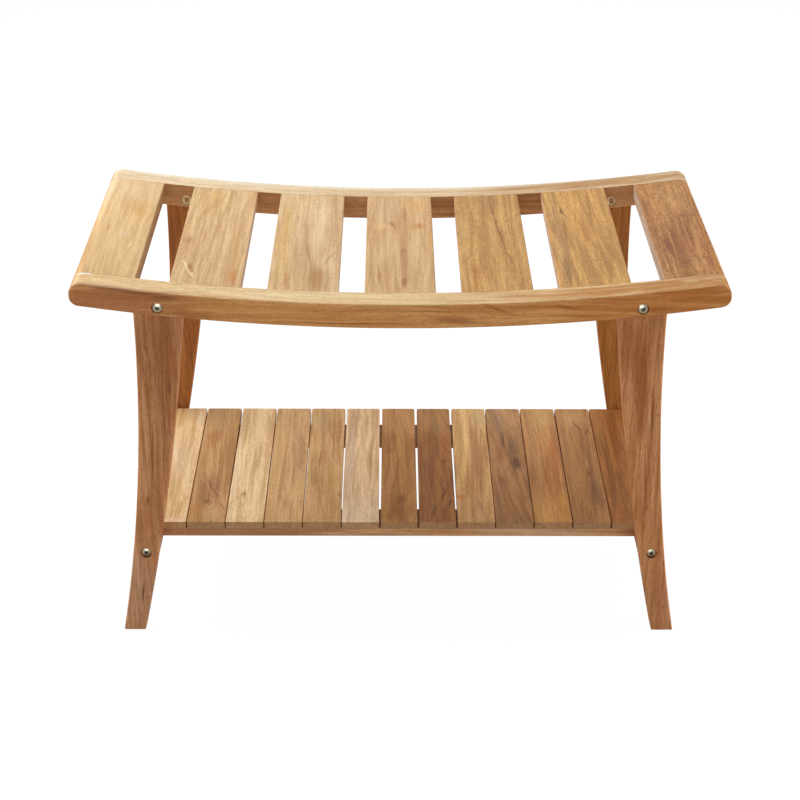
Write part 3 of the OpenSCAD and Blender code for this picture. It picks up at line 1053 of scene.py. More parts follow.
@dataclass
class Legs(Joinery):
    """Four sabre legs that curve outwards to narrow feet."""

    top_outer_x: float = 0.2915
    top_width: float = 0.0535
    foot_outer_x: float = 0.332
    foot_width: float = 0.026
    inner_radius: float = 3.600
    thickness: float = 0.022
    face_y: float = 0.169
    ease: float = 0.0018
    bolt_sink: float = 0.0043
    bolt_z: float = 0.111
    foot_ease: float = 0.0012
    least_rise: float = 0.004
    fit_rounds: int = 20
    long_steps: int = 36
    top_steps: int = 8
    centre: Triple = (0.285, 0.158, 0.21)

    def __post_init__(self) -> None:
        """Works out the hubs of the two long arcs."""
        self.top_z = CURVE.under(self.top_outer_x - self.top_width / 2)
        spread = self.foot_outer_x - self.top_outer_x
        self.outer_radius = (self.top_z ** 2 + spread ** 2) / (2 * spread)
        self.outer_hub = Vector((self.top_outer_x + self.outer_radius, 0, self.top_z))
        foot = Vector((self.foot_outer_x - self.foot_width, 0, 0))
        top = Vector((self.top_outer_x - self.top_width, 0, self.top_z))
        half = (top - foot) / 2
        square = Vector((half.z, 0, -half.x)).normalized()
        self.inner_hub = foot + half + square * math.sqrt(self.inner_radius ** 2 - half.length_squared)

    def outer_x(self, z: float) -> float:
        """Outer edge of the right-hand legs at a height."""
        return self.outer_hub.x - math.sqrt(self.outer_radius ** 2 - (self.outer_hub.z - z) ** 2)

    def inner_x(self, z: float) -> float:
        """Inner edge of the right-hand legs at a height."""
        return self.inner_hub.x - math.sqrt(self.inner_radius ** 2 - (self.inner_hub.z - z) ** 2)

    @property
    def bolt_x(self) -> float:
        """Distance of the leg bolts from the middle of the bench."""
        return (self.outer_x(self.bolt_z) + self.inner_x(self.bolt_z)) / 2

    def meets_rail(self, edge: Callable[[float], float]) -> float:
        """Height at which an edge of the leg meets the rail's underside.

        Args:
            edge: Gives the edge's distance from the middle at a height.

        Returns:
            The height.
        """
        z = self.top_z
        for _ in range(self.fit_rounds):
            z = CURVE.under(edge(z))
        return z

    def build(self) -> None:
        """Builds and dresses the four legs."""
        for side, end in CORNERS:
            self.leg(side, end)

    def leg(self, side: Side, end: End) -> None:
        """Builds one leg with the hole for its bolt's head.

        Args:
            side: Left or right.
            end: Front or back.
        """
        y = min(end.value * self.face_y, end.value * (self.face_y - self.thickness))

        def at(x: float, z: float) -> Vector:
            """Mirrors a point of the right-hand leg to this leg."""
            return Vector((side.value * x, y, z))

        outer_z, inner_z = self.meets_rail(self.outer_x), self.meets_rail(self.inner_x)
        outline = Outline(at(self.inner_x(0), 0))
        outline.line_to(at(self.outer_x(0), 0))
        outline.arc_to(at(self.outer_hub.x, self.outer_hub.z), at(self.outer_x(outer_z), outer_z), self.long_steps)
        outline.arc_to(at(0, CURVE.under_hub.z), at(self.inner_x(inner_z), inner_z), self.top_steps)
        outline.arc_to(at(self.inner_hub.x, self.inner_hub.z), at(self.inner_x(0), 0), self.long_steps)
        mesh = outline.pulled(self.thickness)
        ease_edges(mesh, self.ease, lambda e: (level(e, 1, y) or level(e, 1, y + self.thickness))
                   and not level(e, 2, 0) and rise(e) > self.least_rise)
        ease_edges(mesh, self.foot_ease, lambda e: level(e, 2, 0), steps=2)
        middle = Vector((side.value * self.bolt_x, 0, self.bolt_z))
        head, face = (middle + Y_AXIS * end.value * (self.face_y + more) for more in (-self.bolt_sink, self.over))
        centre = Vector((side.value, end.value, 1)) * Vector(self.centre)
        self.add_board(f"leg_{end.name.lower()}_{side.name.lower()}", mesh, centre, "teak_leg",
                       peg(self.head_hole_radius, head, face))


@dataclass
class Shelf(Joinery):
    """The low shelf: thirteen slats screwed to two rails, between two stretchers."""

    top_z: float = 0.135
    depth: float = 0.276
    slat_count: int = 13
    slat_thickness: float = 0.009
    pitch: float = 0.046
    gaps_mm: tuple[Pair, ...] = (
        (1.2, 1.3), (1.0, 2.0), (1.1, 1.4), (0.9, 1.4), (1.2, 2.4), (2.2, 3.4),
        (2.2, 3.2), (2.0, 3.0), (0.8, 1.2), (1.0, 1.2), (1.0, 1.6), (1.0, 1.0))
    bearing: float = 0.0114
    rail_width: float = 0.044
    rail_thickness: float = 0.011
    back_inset: float = 0.026
    bolt_x: float = 0.2984
    stretcher_width: float = 0.025
    stretcher_height: float = 0.030
    stretcher_half: float = 0.147
    barrel_y: float = 0.119
    barrel_hole_radius: float = 0.00515
    barrel_hole_past: float = 0.009
    stretcher_screw_y: float = 0.075
    front_corner: float = 0.0012
    back_corner: float = 0.003
    side_ease: float = 0.0009
    end_ease: float = 0.0014
    bar_ease: float = 0.0015
    bar_end_ease: float = 0.0004
    sink_radius: float = 0.0039
    sink_taper: float = -0.0019
    sink_depth: float = 0.0021
    sink_over: float = 0.0003

    @property
    def stretcher_inner_x(self) -> float:
        """Distance of the stretchers' inner faces from the middle."""
        return self.bolt_x - self.stretcher_width / 2

    @property
    def half_length(self) -> float:
        """Half the length of the shelf, whose end slats rest on the stretchers."""
        return self.stretcher_inner_x + self.bearing

    @property
    def stretcher_screw_x(self) -> float:
        """Distance of the stretchers' screws from the middle."""
        return self.stretcher_inner_x + self.bearing / 2

    @property
    def under_z(self) -> float:
        """Height of the slats' underside."""
        return self.top_z - self.slat_thickness

    @property
    def screw_rows(self) -> Pair:
        """Middles of the two shelf rails, front and back."""
        return (-self.depth / 2 + self.rail_width / 2, self.depth / 2 - self.back_inset - self.rail_width / 2)

    def screw_x(self) -> list[float]:
        """Middles of the slats."""
        return [(number - self.slat_count // 2) * self.pitch for number in range(self.slat_count)]

    def build(self) -> None:
        """Builds and dresses the whole shelf."""
        for number in range(1, self.slat_count + 1):
            self.slat(number)
        for end, y in zip(End, self.screw_rows):
            self.rail(end, y)
        for side in Side:
            self.stretcher(side)

    def slat(self, number: int) -> None:
        """Builds one shelf slat, a little wider or narrower than its neighbours, as sawn.

        Args:
            number: Its number, from 1 on the left.
        """
        middle, half = self.screw_x()[number - 1], self.depth / 2
        mesh = block((1, 1, 1))
        for vert in mesh.verts:
            side = math.copysign(1, vert.co.x)
            if number == (1 if side < 0 else self.slat_count):
                x = side * self.half_length
            else:
                gap = self.gaps_mm[number - (2 if side < 0 else 1)][0 if vert.co.y < 0 else 1]
                x = middle + side * (self.pitch - gap * MM) / 2
            vert.co = Vector((x, vert.co.y * self.depth, vert.co.z * self.slat_thickness))
        for y, radius in ((-half, self.front_corner), (half, self.back_corner)):
            ease_edges(mesh, radius, lambda e: level(e, 1, y) and rise(e) > WELD)
        ease_edges(mesh, self.side_ease, lambda e: abs(e.verts[0].co.y - e.verts[1].co.y) > half)
        ease_edges(mesh, self.end_ease, lambda e: at_end(e, 1, half))
        centre = Vector((middle, 0, self.top_z - self.slat_thickness / 2))
        bmesh.ops.translate(mesh, vec=Z_AXIS * centre.z, verts=mesh.verts)
        self.add_board(f"shelf_slat_{number}", mesh, centre, "teak_shelf_slat")

    def rail(self, end: End, y: float) -> None:
        """Builds one rail under the slats, countersunk for its screws.

        Args:
            end: Front or back.
            y: Middle of the rail.
        """
        size = (2 * self.stretcher_inner_x, self.rail_width, self.rail_thickness)
        centre = Vector((0, y, self.under_z - self.rail_thickness / 2))
        mesh = eased_block(size, centre, self.bar_ease, self.bar_end_ease, 0)
        sinks = [self.countersink(x, y, self.under_z - self.rail_thickness) for x in self.screw_x()]
        self.add_board(f"shelf_rail_{end.name.lower()}", mesh, centre, "teak_stretcher", joined(sinks))

    def stretcher(self, side: Side) -> None:
        """Builds one stretcher with its holes for the barrel nuts and screws.

        Args:
            side: Left or right.
        """
        size = (self.stretcher_width, 2 * self.stretcher_half, self.stretcher_height)
        centre = Vector((side.value * self.bolt_x, 0, self.under_z - self.stretcher_height / 2))
        mesh = eased_block(size, centre, self.bar_ease, self.bar_end_ease, 1)
        low = self.under_z - self.stretcher_height
        cuts = []
        for end in End:
            nut = centre + Y_AXIS * end.value * self.barrel_y
            bottom = Vector((nut.x, nut.y, low - self.over))
            cuts.append(peg(self.barrel_hole_radius, bottom, nut + Z_AXIS * self.barrel_hole_past))
            cuts.append(self.countersink(side.value * self.stretcher_screw_x, end.value * self.stretcher_screw_y, low))
        self.add_board(f"stretcher_{side.name.lower()}", mesh, centre, "teak_stretcher", joined(cuts))

    def countersink(self, x: float, y: float, z: float) -> Mesh:
        """Shape of a screw's countersunk hole, from just under the wood's face upwards.

        Args:
            x: Place along the bench.
            y: Place from front to back.
            z: Height of the wood's face.

        Returns:
            The shape.
        """
        face = Vector((x, y, z))
        return peg(self.sink_radius, face - Z_AXIS * self.sink_over, face + Z_AXIS * self.sink_depth,
                   self.sink_taper, SMALL_SIDES)


@dataclass
class Hardware:
    """Hex-socket bolts, sleeve nuts, barrel nuts and wood screws; profiles run along Y, with distances from it."""

    seat: Seat
    legs: Legs
    shelf: Shelf
    finish: TurnedSteel = TurnedSteel()
    nut_finish: TurnedSteel = TurnedSteel("yellow_zinc_plated_steel", "#F2E0B8", "#B89866", 0.42)
    # The sockets' dark steel is painted shade in the hollow of each bolt head
    socket_shade_finish: TurnedSteel = TurnedSteel("steel_socket_painted_shade", "#877E68", "#4A4434", 0.45)
    sharp: float = 32.0
    shank: tuple[Pair, ...] = ((-0.0195, 0.0), (-0.0195, 0.0026), (-0.0191, 0.003), (0.0, 0.003))
    head_radius: float = 0.0058
    head_height: float = 0.0032
    rim_height: float = 0.0016
    dome_steps: int = 12
    socket: float = 0.0046
    socket_depth: float = 0.002
    seat_bolt_turn: float = 17.0
    leg_bolt_turn: float = 41.0
    sleeve: tuple[Pair, ...] = (
        (-0.0195, 0.00315), (-0.0195, 0.0043), (-0.0015, 0.0043), (-0.0015, 0.0062), (-0.0003, 0.0062),
        (0.0, 0.0058), (0.0, 0.0037), (-0.0006, 0.00315), (-0.0195, 0.00315))
    barrel_radius: float = 0.005
    barrel_half: float = 0.009
    barrel_ease: float = 0.0005
    bore_radius: float = 0.00315
    bore_half: float = 0.007
    slot: Triple = (0.0012, 0.012, 0.003)
    screw_radius: float = 0.00175
    screw_length: float = 0.012
    screw_head_radius: float = 0.0035
    screw_head_taper: float = -0.0017
    screw_head_z: Pair = (0.0001, 0.0021)
    screw_neck_z: float = 0.0018
    screw_turn: float = 2.4
    cross: Triple = (0.0042, 0.0009, 0.0026)

    def build(self) -> None:
        """Builds and dresses all the fasteners."""
        # dark is the painted shade for the bolts' sockets
        steel, yellow, dark = (finish.build() for finish in (self.finish, self.nut_finish, self.socket_shade_finish))
        seat, legs = self.seat, self.legs
        for mesh, name, node, spot, turn, inwards, metal in (
            (self.bolt_head(), "bolts_seat", "seat_bolts",
             (seat.bolt_x, seat.rail_outer_y - seat.bolt_sink, seat.bolt_z), self.seat_bolt_turn, False, steel),
            (self.bolt_head(), "bolts_legs", "leg_bolts",
             (legs.bolt_x, legs.face_y - legs.bolt_sink, legs.bolt_z), self.leg_bolt_turn, False, steel),
            (self.sleeve_nut(), "nuts_sleeve", "sleeve_nuts",
             (seat.bolt_x, seat.inner_y + seat.sleeve_sink, seat.bolt_z), 0.0, True, yellow),
        ):
            self.dress(name, self.at_corners(mesh, spot, turn, inwards), node, metal, dark)
        self.dress("nuts_barrel", self.barrel_nuts(), "barrel_nuts", steel, dark)
        shelf = self.shelf
        low = shelf.under_z - shelf.rail_thickness
        spots = [Vector((x, y, low)) for y in shelf.screw_rows for x in shelf.screw_x()]
        self.dress("screws_slats", self.screws(spots), "slat_screws", steel, dark)
        low = shelf.under_z - shelf.stretcher_height
        spots = [Vector((side.value * shelf.stretcher_screw_x, end.value * shelf.stretcher_screw_y, low))
                 for side, end in CORNERS]
        self.dress("screws_stretchers", self.screws(spots), "stretcher_screws", steel, dark)

    def dress(self, name: str, mesh: Mesh, node: str, metal: Material, socket: Material) -> None:
        """Turns a group of fasteners into a dressed piece, with painted shade in their sockets."""
        finish_piece(to_object(f"steel_{name}", mesh), metal, (node,), self.sharp, socket)

    @staticmethod
    def at_corners(part: Mesh, spot: Triple, turn: float, inwards: bool) -> Mesh:
        """Puts a copy of a part on all four corners of the bench, and frees the part.

        Args:
            part: Mesh whose face looks along +Y from the origin.
            spot: Its place on the back right corner.
            turn: Degrees by which each copy is turned further than the last.
            inwards: Whether the parts look at the middle of the bench.

        Returns:
            The four copies in one mesh.
        """
        copies = []
        for number, (side, end) in enumerate(CORNERS, 1):
            about = inwards == (end is End.BACK)
            place = (Matrix.Translation(Vector((side.value, end.value, 1)) * Vector(spot))
                     @ Matrix.Rotation(math.pi if about else 0.0, 4, "Z")
                     @ Matrix.Rotation(math.radians(turn * number), 4, "Y"))
            copies.append(moved(part, place))
        part.free()
        return joined(copies)

    def bolt_head(self) -> Mesh:
        """Turns a domed head with a short shank and cuts its hex socket.

        Returns:
            The bolt, with the underside of its head at the origin and its face along +Y.
        """
        rise_y = self.head_height - self.rim_height
        dome = (self.head_radius ** 2 + rise_y ** 2) / (2 * rise_y)
        hub = Y_AXIS * (self.head_height - dome)
        profile = Outline.through(*self.shank, (0.0, self.head_radius), (self.rim_height, self.head_radius))
        profile.arc_to(hub, hub + Y_AXIS * dome, self.dome_steps)
        floor = Y_AXIS * (self.head_height - self.socket_depth)
        hexagon = peg(self.socket / 2 / math.cos(math.pi / 6), floor, floor + Y_AXIS * 2 * self.socket_depth, sides=6)
        bolt = carved("bolt", profile.turned(), hexagon)
        # The socket's walls and floor take the second material, which paints shade into the hollow
        for face in bolt.faces:
            middle = face.calc_center_median()
            inside = math.hypot(middle.x, middle.z) < self.socket / 2 + 0.1 * MM
            if inside and middle.y > 0.5 * MM and len(face.verts) > 3:
                face.material_index = 1
        return bolt

    def sleeve_nut(self) -> Mesh:
        """Turns a sleeve nut, with a thin flange at the origin, a chamfered bore and a barrel behind it."""
        return Outline.through(*self.sleeve).turned()

    def barrel_nuts(self) -> Mesh:
        """Makes the four barrel nuts, each with a screwdriver slot in its lower end.

        Returns:
            The nuts in one mesh.
        """
        nuts = []
        middle_z = self.shelf.under_z - self.shelf.stretcher_height / 2
        half, bore = Z_AXIS * self.barrel_half, Y_AXIS * self.bore_half
        for side, end in CORNERS:
            middle = Vector((side.value * self.shelf.bolt_x, end.value * self.shelf.barrel_y, middle_z))
            mesh = peg(self.barrel_radius, middle - half, middle + half)
            ease_edges(mesh, self.barrel_ease, lambda e: rise(e) < WELD, steps=2)
            thread = peg(self.bore_radius, middle - bore, middle + bore, sides=32)
            nuts.append(carved("nut", mesh, thread, block(self.slot, middle - half)))
        return joined(nuts)

    def screws(self, spots: list[Vector]) -> Mesh:
        """Drives a countersunk screw upwards at each spot, each turned its own way, because no two end up alike.

        Args:
            spots: Where their heads go.

        Returns:
            The screws in one mesh.
        """
        top, under = self.screw_head_z
        shank = peg(self.screw_radius, Z_AXIS * self.screw_neck_z, Z_AXIS * self.screw_length, sides=20)
        head = peg(self.screw_head_radius, Z_AXIS * top, Z_AXIS * under, self.screw_head_taper, SMALL_SIDES)
        blades = [moved(block(self.cross), Matrix.Rotation(angle, 4, "Z")) for angle in (0.0, math.pi / 2)]
        screw = carved("screw", joined([shank, head]), *blades)
        copies = [moved(screw, Matrix.Translation(spot) @ Matrix.Rotation(number * self.screw_turn, 4, "Z"))
                  for number, spot in enumerate(spots)]
        screw.free()
        return joined(copies)


# ---------------------------------------------------------------- the boards' markings, with painted light and shade


FIGURES_AND_PAINTED_LIGHT: dict[str, tuple[FigureOrPaintedLight, ...]] = {
    "rail_front": (
        *marks(
            # The top pales to the left and turns orange to the right: painted falloff of the light from the back left,
            # over the wood's own orange streaks
            (-120, 0, 230, 1e4, "#F3D9AE", 0.6, 0, 0, 0.8, (-152, 14)),
            (300, 0, 190, 1e4, "#BA7618", 0.7, 0, 0, 0.8, (-155, 17)),
            (190, 0, 90, 1e4, "#C88420", 0.3, 0, 0, 0.8, (-155, 17)),
            (230, 0, 70, 1e4, "#B07A42", 0.4, 0, 0, 0.8, (-147, 2)),
            (318, 0, 11, 1e4, "#D8B684", 0.7, 0, 0, 0.8, (-150, 6)),
            # Painted highlight on the rail's inner top edge at the left end, where the end board meets it
            (-346, 0, 12, 1e4, "#FFFAF0", 1, 0, 0, 0.5, (-141, 2.6))),
        *marks(
            (-300, 446, 90, 40, "#BC9274", 0.9), (-292, 452, 64, 3.2, "#8A604A", 0.65, -7),
            (-254, 444, 14, 5, "#80563A", 0.3), (-312, 436, 28, 4, "#D8A890", 0.5, -6),
            (-228, 425, 34, 5, "#B08060", 0.6, -6), (-229, 420, 18, 1.8, "#925C40", 0.6, -10),
            (-110, 428, 100, 3, "#E6BC8A", 0.5, -2), (-70, 415, 80, 1.4, "#9C6C44", 0.55, -1),
            (40, 429, 60, 1.4, "#9C6C44", 0.5, 2), (60, 419, 34, 5, "#8A5A36", 0.6, -3, 5),
            (107, 432, 22, 2.2, "#7E5230", 0.42, -20, 0, 1), (183, 434, 20, 2.2, "#7E5230", 0.38, -14, 0, 1),
            (300, 448, 130, 40, "#C68A50", 0.5), (243, 424, 26, 3.5, "#E6BA86", 0.5, 6),
            (281, 431, 16, 6, "#AC7040", 0.5, 8), (320, 447, 40, 2, "#B07A48", 0.5, 12), depth=(-170, 7))),
    "rail_back": marks(
        # The top pales to the left and darkens to the right, partly the wood's tone and partly painted falloff of the
        # light from the back left
        (-280, 0, 180, 1e4, "#F2E0C4", 0.5, 0, 0, 0.8, (155, 20)),
        (245, 0, 170, 1e4, "#C08848", 0.75, 0, 0, 0.8, (155, 20)),
        # Painted highlight along the rear edge of the top, over most of its length from the left
        (-150, 0, 420, 1e4, "#FFF4E2", 0.8, 0, 0, 0.8, (168, 9)),
        (110, 0, 70, 1e4, "#BE9468", 0.5, 0, 0, 0.8, (139, 3)),
        (285, 0, 48, 1e4, "#F6DCBC", 0.75, 0, 0, 0.8, (139, 3))),
    "end_board_left": marks(
        (55, -311, 42, 16, "#DFB272", 0.6), (-23, -320, 10, 9, "#ECD2B0", 0.8), (-13, -337, 12, 1.6, "#C4935C", 0.7),
        (-52, -309, 18, 2, "#F2DAB0", 0.7, 15), (-84, -314, 18, 2, "#F2DAB0", 0.6, 3),
        (-90, -352, 60, 5, "#CFA168", 0.65), (100, -352, 60, 5, "#EED2AE", 0.6), (112, -330, 46, 60, "#F4E2C8", 0.3)),
    "seat_slat_1": marks(
        (106, -223, 28, 9, "#E3B874", 0.7), (76, -228, 44, 5, "#C89A64", 0.6, 15), (100, -249, 50, 6, "#E6C79A", 0.6),
        (-23, -243, 11, 7, "#C29068", 0.65), (-60, -246, 30, 8, "#E2B894", 0.6), (-4, -201, 32, 4, "#EBCDA0", 0.65),
        (-15, -227, 30, 1.8, "#C0905E", 0.6), (-60, -187, 82, 2.2, "#D99858", 0.5),
        (-112, -186.5, 26, 4.5, "#D99050", 0.75), (-96, -235, 11, 3.2, "#B87238", 0.85, -8),
        (-89, -241, 12, 1.5, "#F8E2BC", 0.95, -15, 0, 0.5), (-105, -237, 9, 1.6, "#F8E2BC", 0.95, -15, 0, 0.5),
        (-116, -231, 9, 2, "#F8E2BC", 0.95, -34, 0, 0.5), (-105, -226, 17, 1.2, "#F2D6A8", 0.7),
        (-20, -179, 120, 3, "#E9C596", 0.6)),
    "seat_slat_2": marks(
        (0, -134, 150, 10, "#DFB572", 0.65), (0, -116, 150, 6, "#D9AE88", 0.6), (60, -96, 95, 11, "#E9CFA8", 0.7),
        (130, -138, 30, 8, "#DDBC9A", 0.6), (-105, -95, 38, 11, "#B48556", 0.75),
        (-38, -106.5, 30, 2.2, "#B0845A", 0.7, -7), (-50, -80.5, 20, 2.4, "#B68A5E", 0.65, 15),
        (-110, -128, 22, 3, "#D39A50", 0.65), (-30, -72, 110, 4, "#DDB48C", 0.55),
        (-112, -106, 36, 60, "#C08A4C", 0.25)),
    "seat_slat_3": marks(
        (100, -17, 42, 20, "#D6B698", 0.75), (110, 22, 30, 16, "#DFB176", 0.8), (83, 6.5, 26, 1.8, "#B98650", 0.65),
        (47, -22, 12, 10, "#E8C48E", 0.7), (54, -10, 7, 3.5, "#A87444", 0.85, 0, 5),
        (46, -6.5, 9, 1.6, "#B07C4C", 0.7, -24), (47, 20, 12, 10, "#CC9048", 0.6),
        (49, 23, 6, 3.5, "#BE7C34", 0.7, 0, 5), (-52, 4.5, 88, 5, "#B98A5E", 0.65), (-25, 4, 9, 4, "#A8764A", 0.6),
        (-112, 4, 13, 4, "#9C683C", 0.65), (-12, -10, 44, 9, "#E0BF96", 0.65), (-92, -24, 40, 2, "#AC743E", 0.75),
        (0, 35, 60, 4, "#D69C5C", 0.5)),
    "seat_slat_4": marks(
        (126, 106, 14, 18, "#B88E6C", 0.65), (98, 112.5, 30, 1.8, "#9C6C3C", 0.75, -5),
        (53, 115.5, 20, 1.8, "#9C6C3C", 0.75, -2), (13, 118.5, 26, 1.8, "#9C6C3C", 0.75, -6),
        (-44, 125, 36, 1.8, "#A27240", 0.7, -7), (52, 131, 30, 1.6, "#A87846", 0.65), (-89, 87, 36, 9, "#B47838", 0.7),
        (0, 140, 140, 5, "#D9B078", 0.6), (20, 72, 120, 4, "#D4AF80", 0.6), (115, 106, 50, 60, "#9C7448", 0.3)),
    "seat_slat_5": marks(
        (0, 187, 150, 9, "#B8946C", 0.65), (-95, 187, 42, 5, "#9A7350", 0.7), (74, 196, 13, 2.4, "#7A5030", 0.85),
        (21, 195, 42, 1.5, "#9C6C44", 0.65, 1), (75, 212, 64, 8, "#DDB06A", 0.7), (-10, 215.5, 46, 3.5, "#C08446", 0.7),
        (110, 232, 30, 2.4, "#B58248", 0.6), (60, 231, 40, 2, "#B07C44", 0.5, -2),
        (-110, 235, 30, 3, "#B47C44", 0.5, 4)),
    "end_board_right": marks(
        (97, 305.5, 42, 7, "#D09A62", 0.7), (90, 330, 56, 20, "#CCA076", 0.75), (-50, 321, 64, 23, "#9C6242", 0.65),
        (-53, 306.5, 28, 6.5, "#8A5236", 0.65), (-122, 298.5, 15, 7, "#C49A68", 0.7), (60, 349, 70, 5, "#C09874", 0.6),
        (-107, 345.5, 30, 4, "#A25C34", 0.7)),
    "leg_front_left": marks(
        # Darker towards the top: partly the wood's tone, partly painted shade under the rail
        (60, -312, 80, 30, "#D4B5A5", 0.6), (385, -264, 110, 34, "#A8714A", 0.7), (312, -266, 38, 2, "#83502F", 0.6, 1),
        (333, -258, 9, 1.8, "#7C4A2C", 0.6), (395, -280, 30, 1.8, "#8C5836", 0.55),
        (53, -305, 18, 1.8, "#64402A", 0.75, 8), (185, -291, 9, 1.8, "#64402A", 0.7, 4),
        (81, -298, 7, 3, "#D8B8A4", 0.6), (245, -281, 46, 1.6, "#8C5A3A", 0.5, 3),
        (140, -287, 40, 4, "#D2A482", 0.5, 5)),
    "leg_front_right": marks(
        # Darker towards the top: partly the wood's tone, partly painted shade under the rail
        (40, 318, 60, 30, "#CC9C78", 0.5), (400, 266, 80, 40, "#AE7A4E", 0.6), (330, 270, 80, 6, "#A46C3E", 0.45, -2),
        (306, 284, 34, 2.2, "#7A4824", 0.65, -3), (210, 283, 46, 1.6, "#8A5832", 0.5, -4),
        (150, 292, 60, 5, "#D8A878", 0.5, -6)),
    "shelf_slat_1": marks(
        (10, -286, 60, 40, "#F2DCBC", 0.35), (110, -285, 30, 10, "#C8985A", 0.6), (-30, -263, 90, 5, "#E9C798", 0.7),
        (110, -262, 30, 4, "#E4CBA4", 0.7), (-30, -283, 90, 4, "#E6BC80", 0.5), (-105, -264, 24, 6, "#CEA66C", 0.6),
        (-134, -275, 6, 30, "#EAD2AE", 0.6)),
    "shelf_slat_2": marks(
        (110, -232, 30, 16, "#BE9A70", 0.7), (58, -238, 26, 9, "#AE7448", 0.7), (95, -216, 24, 6, "#C49860", 0.7),
        (-62, -230, 40, 18, "#A07254", 0.75), (-45, -240, 30, 1.6, "#C09474", 0.8, -22),
        (-60, -228, 34, 1.8, "#8A5C42", 0.7, -24), (-75, -218, 30, 1.8, "#C09474", 0.7, -26),
        (-93, -231, 9, 6, "#7E5238", 0.8, -30, 4), (-112, -247, 18, 6, "#BE8448", 0.8),
        (-118, -224, 22, 12, "#CFAE86", 0.85, -8), (-104, -213, 16, 1.6, "#8A5C3C", 0.7, -22)),
    "shelf_slat_3": marks(
        (-20, -202, 130, 4, "#EDD5B0", 0.8), (90, -192, 60, 5, "#D2B47A", 0.6), (30, -168, 50, 3.2, "#E2B488", 0.8),
        (25, -176, 40, 1.6, "#C89C68", 0.6, -3), (-76, -190, 8, 4, "#A8743E", 0.9, 0, 4),
        (-100, -193, 22, 1.8, "#BC8C52", 0.7), (-118, -178, 22, 16, "#EDCE98", 0.8, 0, 0, 0.5),
        (-120, -201, 24, 6, "#EFD9B2", 0.8)),
    "shelf_slat_4": marks(
        (30, -153, 110, 5, "#CEA874", 0.6), (40, -127, 90, 9, "#B48A66", 0.7), (20, -138, 80, 2.4, "#C49674", 0.5),
        (-100, -136, 14, 3, "#A87444", 0.7), (-20, -131, 50, 1.8, "#A87C56", 0.6)),
    "shelf_slat_5": marks(
        (105, -101, 26, 13, "#B69C76", 0.75), (75, -80, 34, 8, "#AC7C4A", 0.7), (8, -98, 24, 4, "#A47444", 0.7, 4),
        (-30, -102, 20, 2, "#A47848", 0.5, -3), (-55, -86, 50, 8, "#C29A60", 0.6), (-75, -74, 8, 3, "#8E6236", 0.6)),
    "shelf_slat_6": marks(
        (0, -60, 150, 6, "#C2A68C", 0.8), (40, -47, 80, 4, "#CBAA80", 0.6), (-85, -45, 60, 4.5, "#E2B996", 0.85, 1),
        (10, -34, 70, 2.4, "#A67848", 0.75, 2), (-90, -34, 50, 2.4, "#B0885C", 0.7), (0, -28, 100, 2.5, "#D2AA7E", 0.6),
        (90, -31, 40, 5, "#C09468", 0.6)),
    "shelf_slat_7": marks(
        (105, 0, 30, 20, "#AC8866", 0.7), (60, -10, 18, 9, "#966A44", 0.7), (30, -12, 12, 5, "#8C5C32", 0.6),
        (-20, -14, 40, 3, "#8E6038", 0.6, 3), (-45, 9, 34, 8, "#B08654", 0.7), (-88, 2, 14, 7, "#7C4A22", 0.8, 20, 5),
        (-112, -2, 20, 9, "#805026", 0.75, -10), (-110, 14, 20, 4, "#A47A4C", 0.7),
        (-126, -12, 10, 5, "#6E4220", 0.6)),
    "shelf_slat_8": marks(
        (100, 36, 26, 8, "#A8785C", 0.7), (95, 48, 30, 3.5, "#8C7456", 0.7), (110, 59, 30, 5, "#A07454", 0.6, 4),
        (40, 60, 50, 5, "#9A5C3A", 0.7), (2, 57, 6, 5, "#86402A", 0.6), (-30, 38, 60, 8, "#8A5C4A", 0.6),
        (-78, 54, 20, 2.2, "#603A28", 0.85, 16), (-95, 62, 12, 3, "#5E3018", 0.85, 14), (-84, 66, 7, 5, "#B0703E", 0.7),
        (-113, 43, 16, 3, "#50301A", 0.85, 8), (-120, 56, 20, 5, "#74482C", 0.6)),
    "shelf_slat_9": marks(
        (75, 87, 80, 5, "#DCB880", 0.9), (-20, 80, 45, 4.5, "#D2AC6E", 0.85, 6), (40, 76, 100, 3.5, "#C09C62", 0.7),
        (115, 106, 28, 9, "#B89C72", 0.75), (0, 103, 90, 9, "#A67A50", 0.7), (-55, 90, 44, 8, "#B08050", 0.6),
        (-82, 74, 8, 6, "#B46C30", 0.85, 0, 5), (-105, 94, 26, 10, "#B08260", 0.6),
        (-115, 88, 20, 1.6, "#805636", 0.7, 14), (-108, 101, 22, 1.6, "#8A6040", 0.7, -10),
        (-122, 79, 18, 3, "#C69670", 0.7, 10)),
    "shelf_slat_10": marks(
        (105, 131, 34, 8, "#8C7062", 0.75), (85, 150, 40, 4, "#B0886A", 0.6), (60, 134, 24, 2.2, "#684A34", 0.8, 4),
        (20, 128, 26, 8, "#8E5E42", 0.6), (30, 148, 40, 8, "#80644A", 0.7), (-4, 149, 18, 8, "#664832", 0.85, 0, 5),
        (-15, 130, 26, 6, "#B28862", 0.75), (-45, 128, 14, 8, "#866040", 0.6), (-100, 137, 36, 2, "#B48858", 0.7, -9),
        (-95, 148, 40, 3, "#7E5636", 0.6, -9), (-118, 158, 24, 2, "#BE8E64", 0.8, -7),
        (-90, 122, 44, 4, "#8A664C", 0.6)),
    "shelf_slat_11": marks(
        (115, 188, 30, 16, "#C8A272", 0.75), (15, 196, 70, 8, "#B87A48", 0.75), (20, 172, 110, 7, "#9E7654", 0.6),
        (-50, 186, 60, 6, "#A8703E", 0.6), (-112, 198, 34, 6, "#CC9248", 0.8), (-110, 170, 30, 4, "#A07C52", 0.6)),
    "shelf_slat_12": marks(
        (112, 228, 32, 18, "#BC966C", 0.75), (92, 232, 14, 2.2, "#6E5036", 0.8, -16),
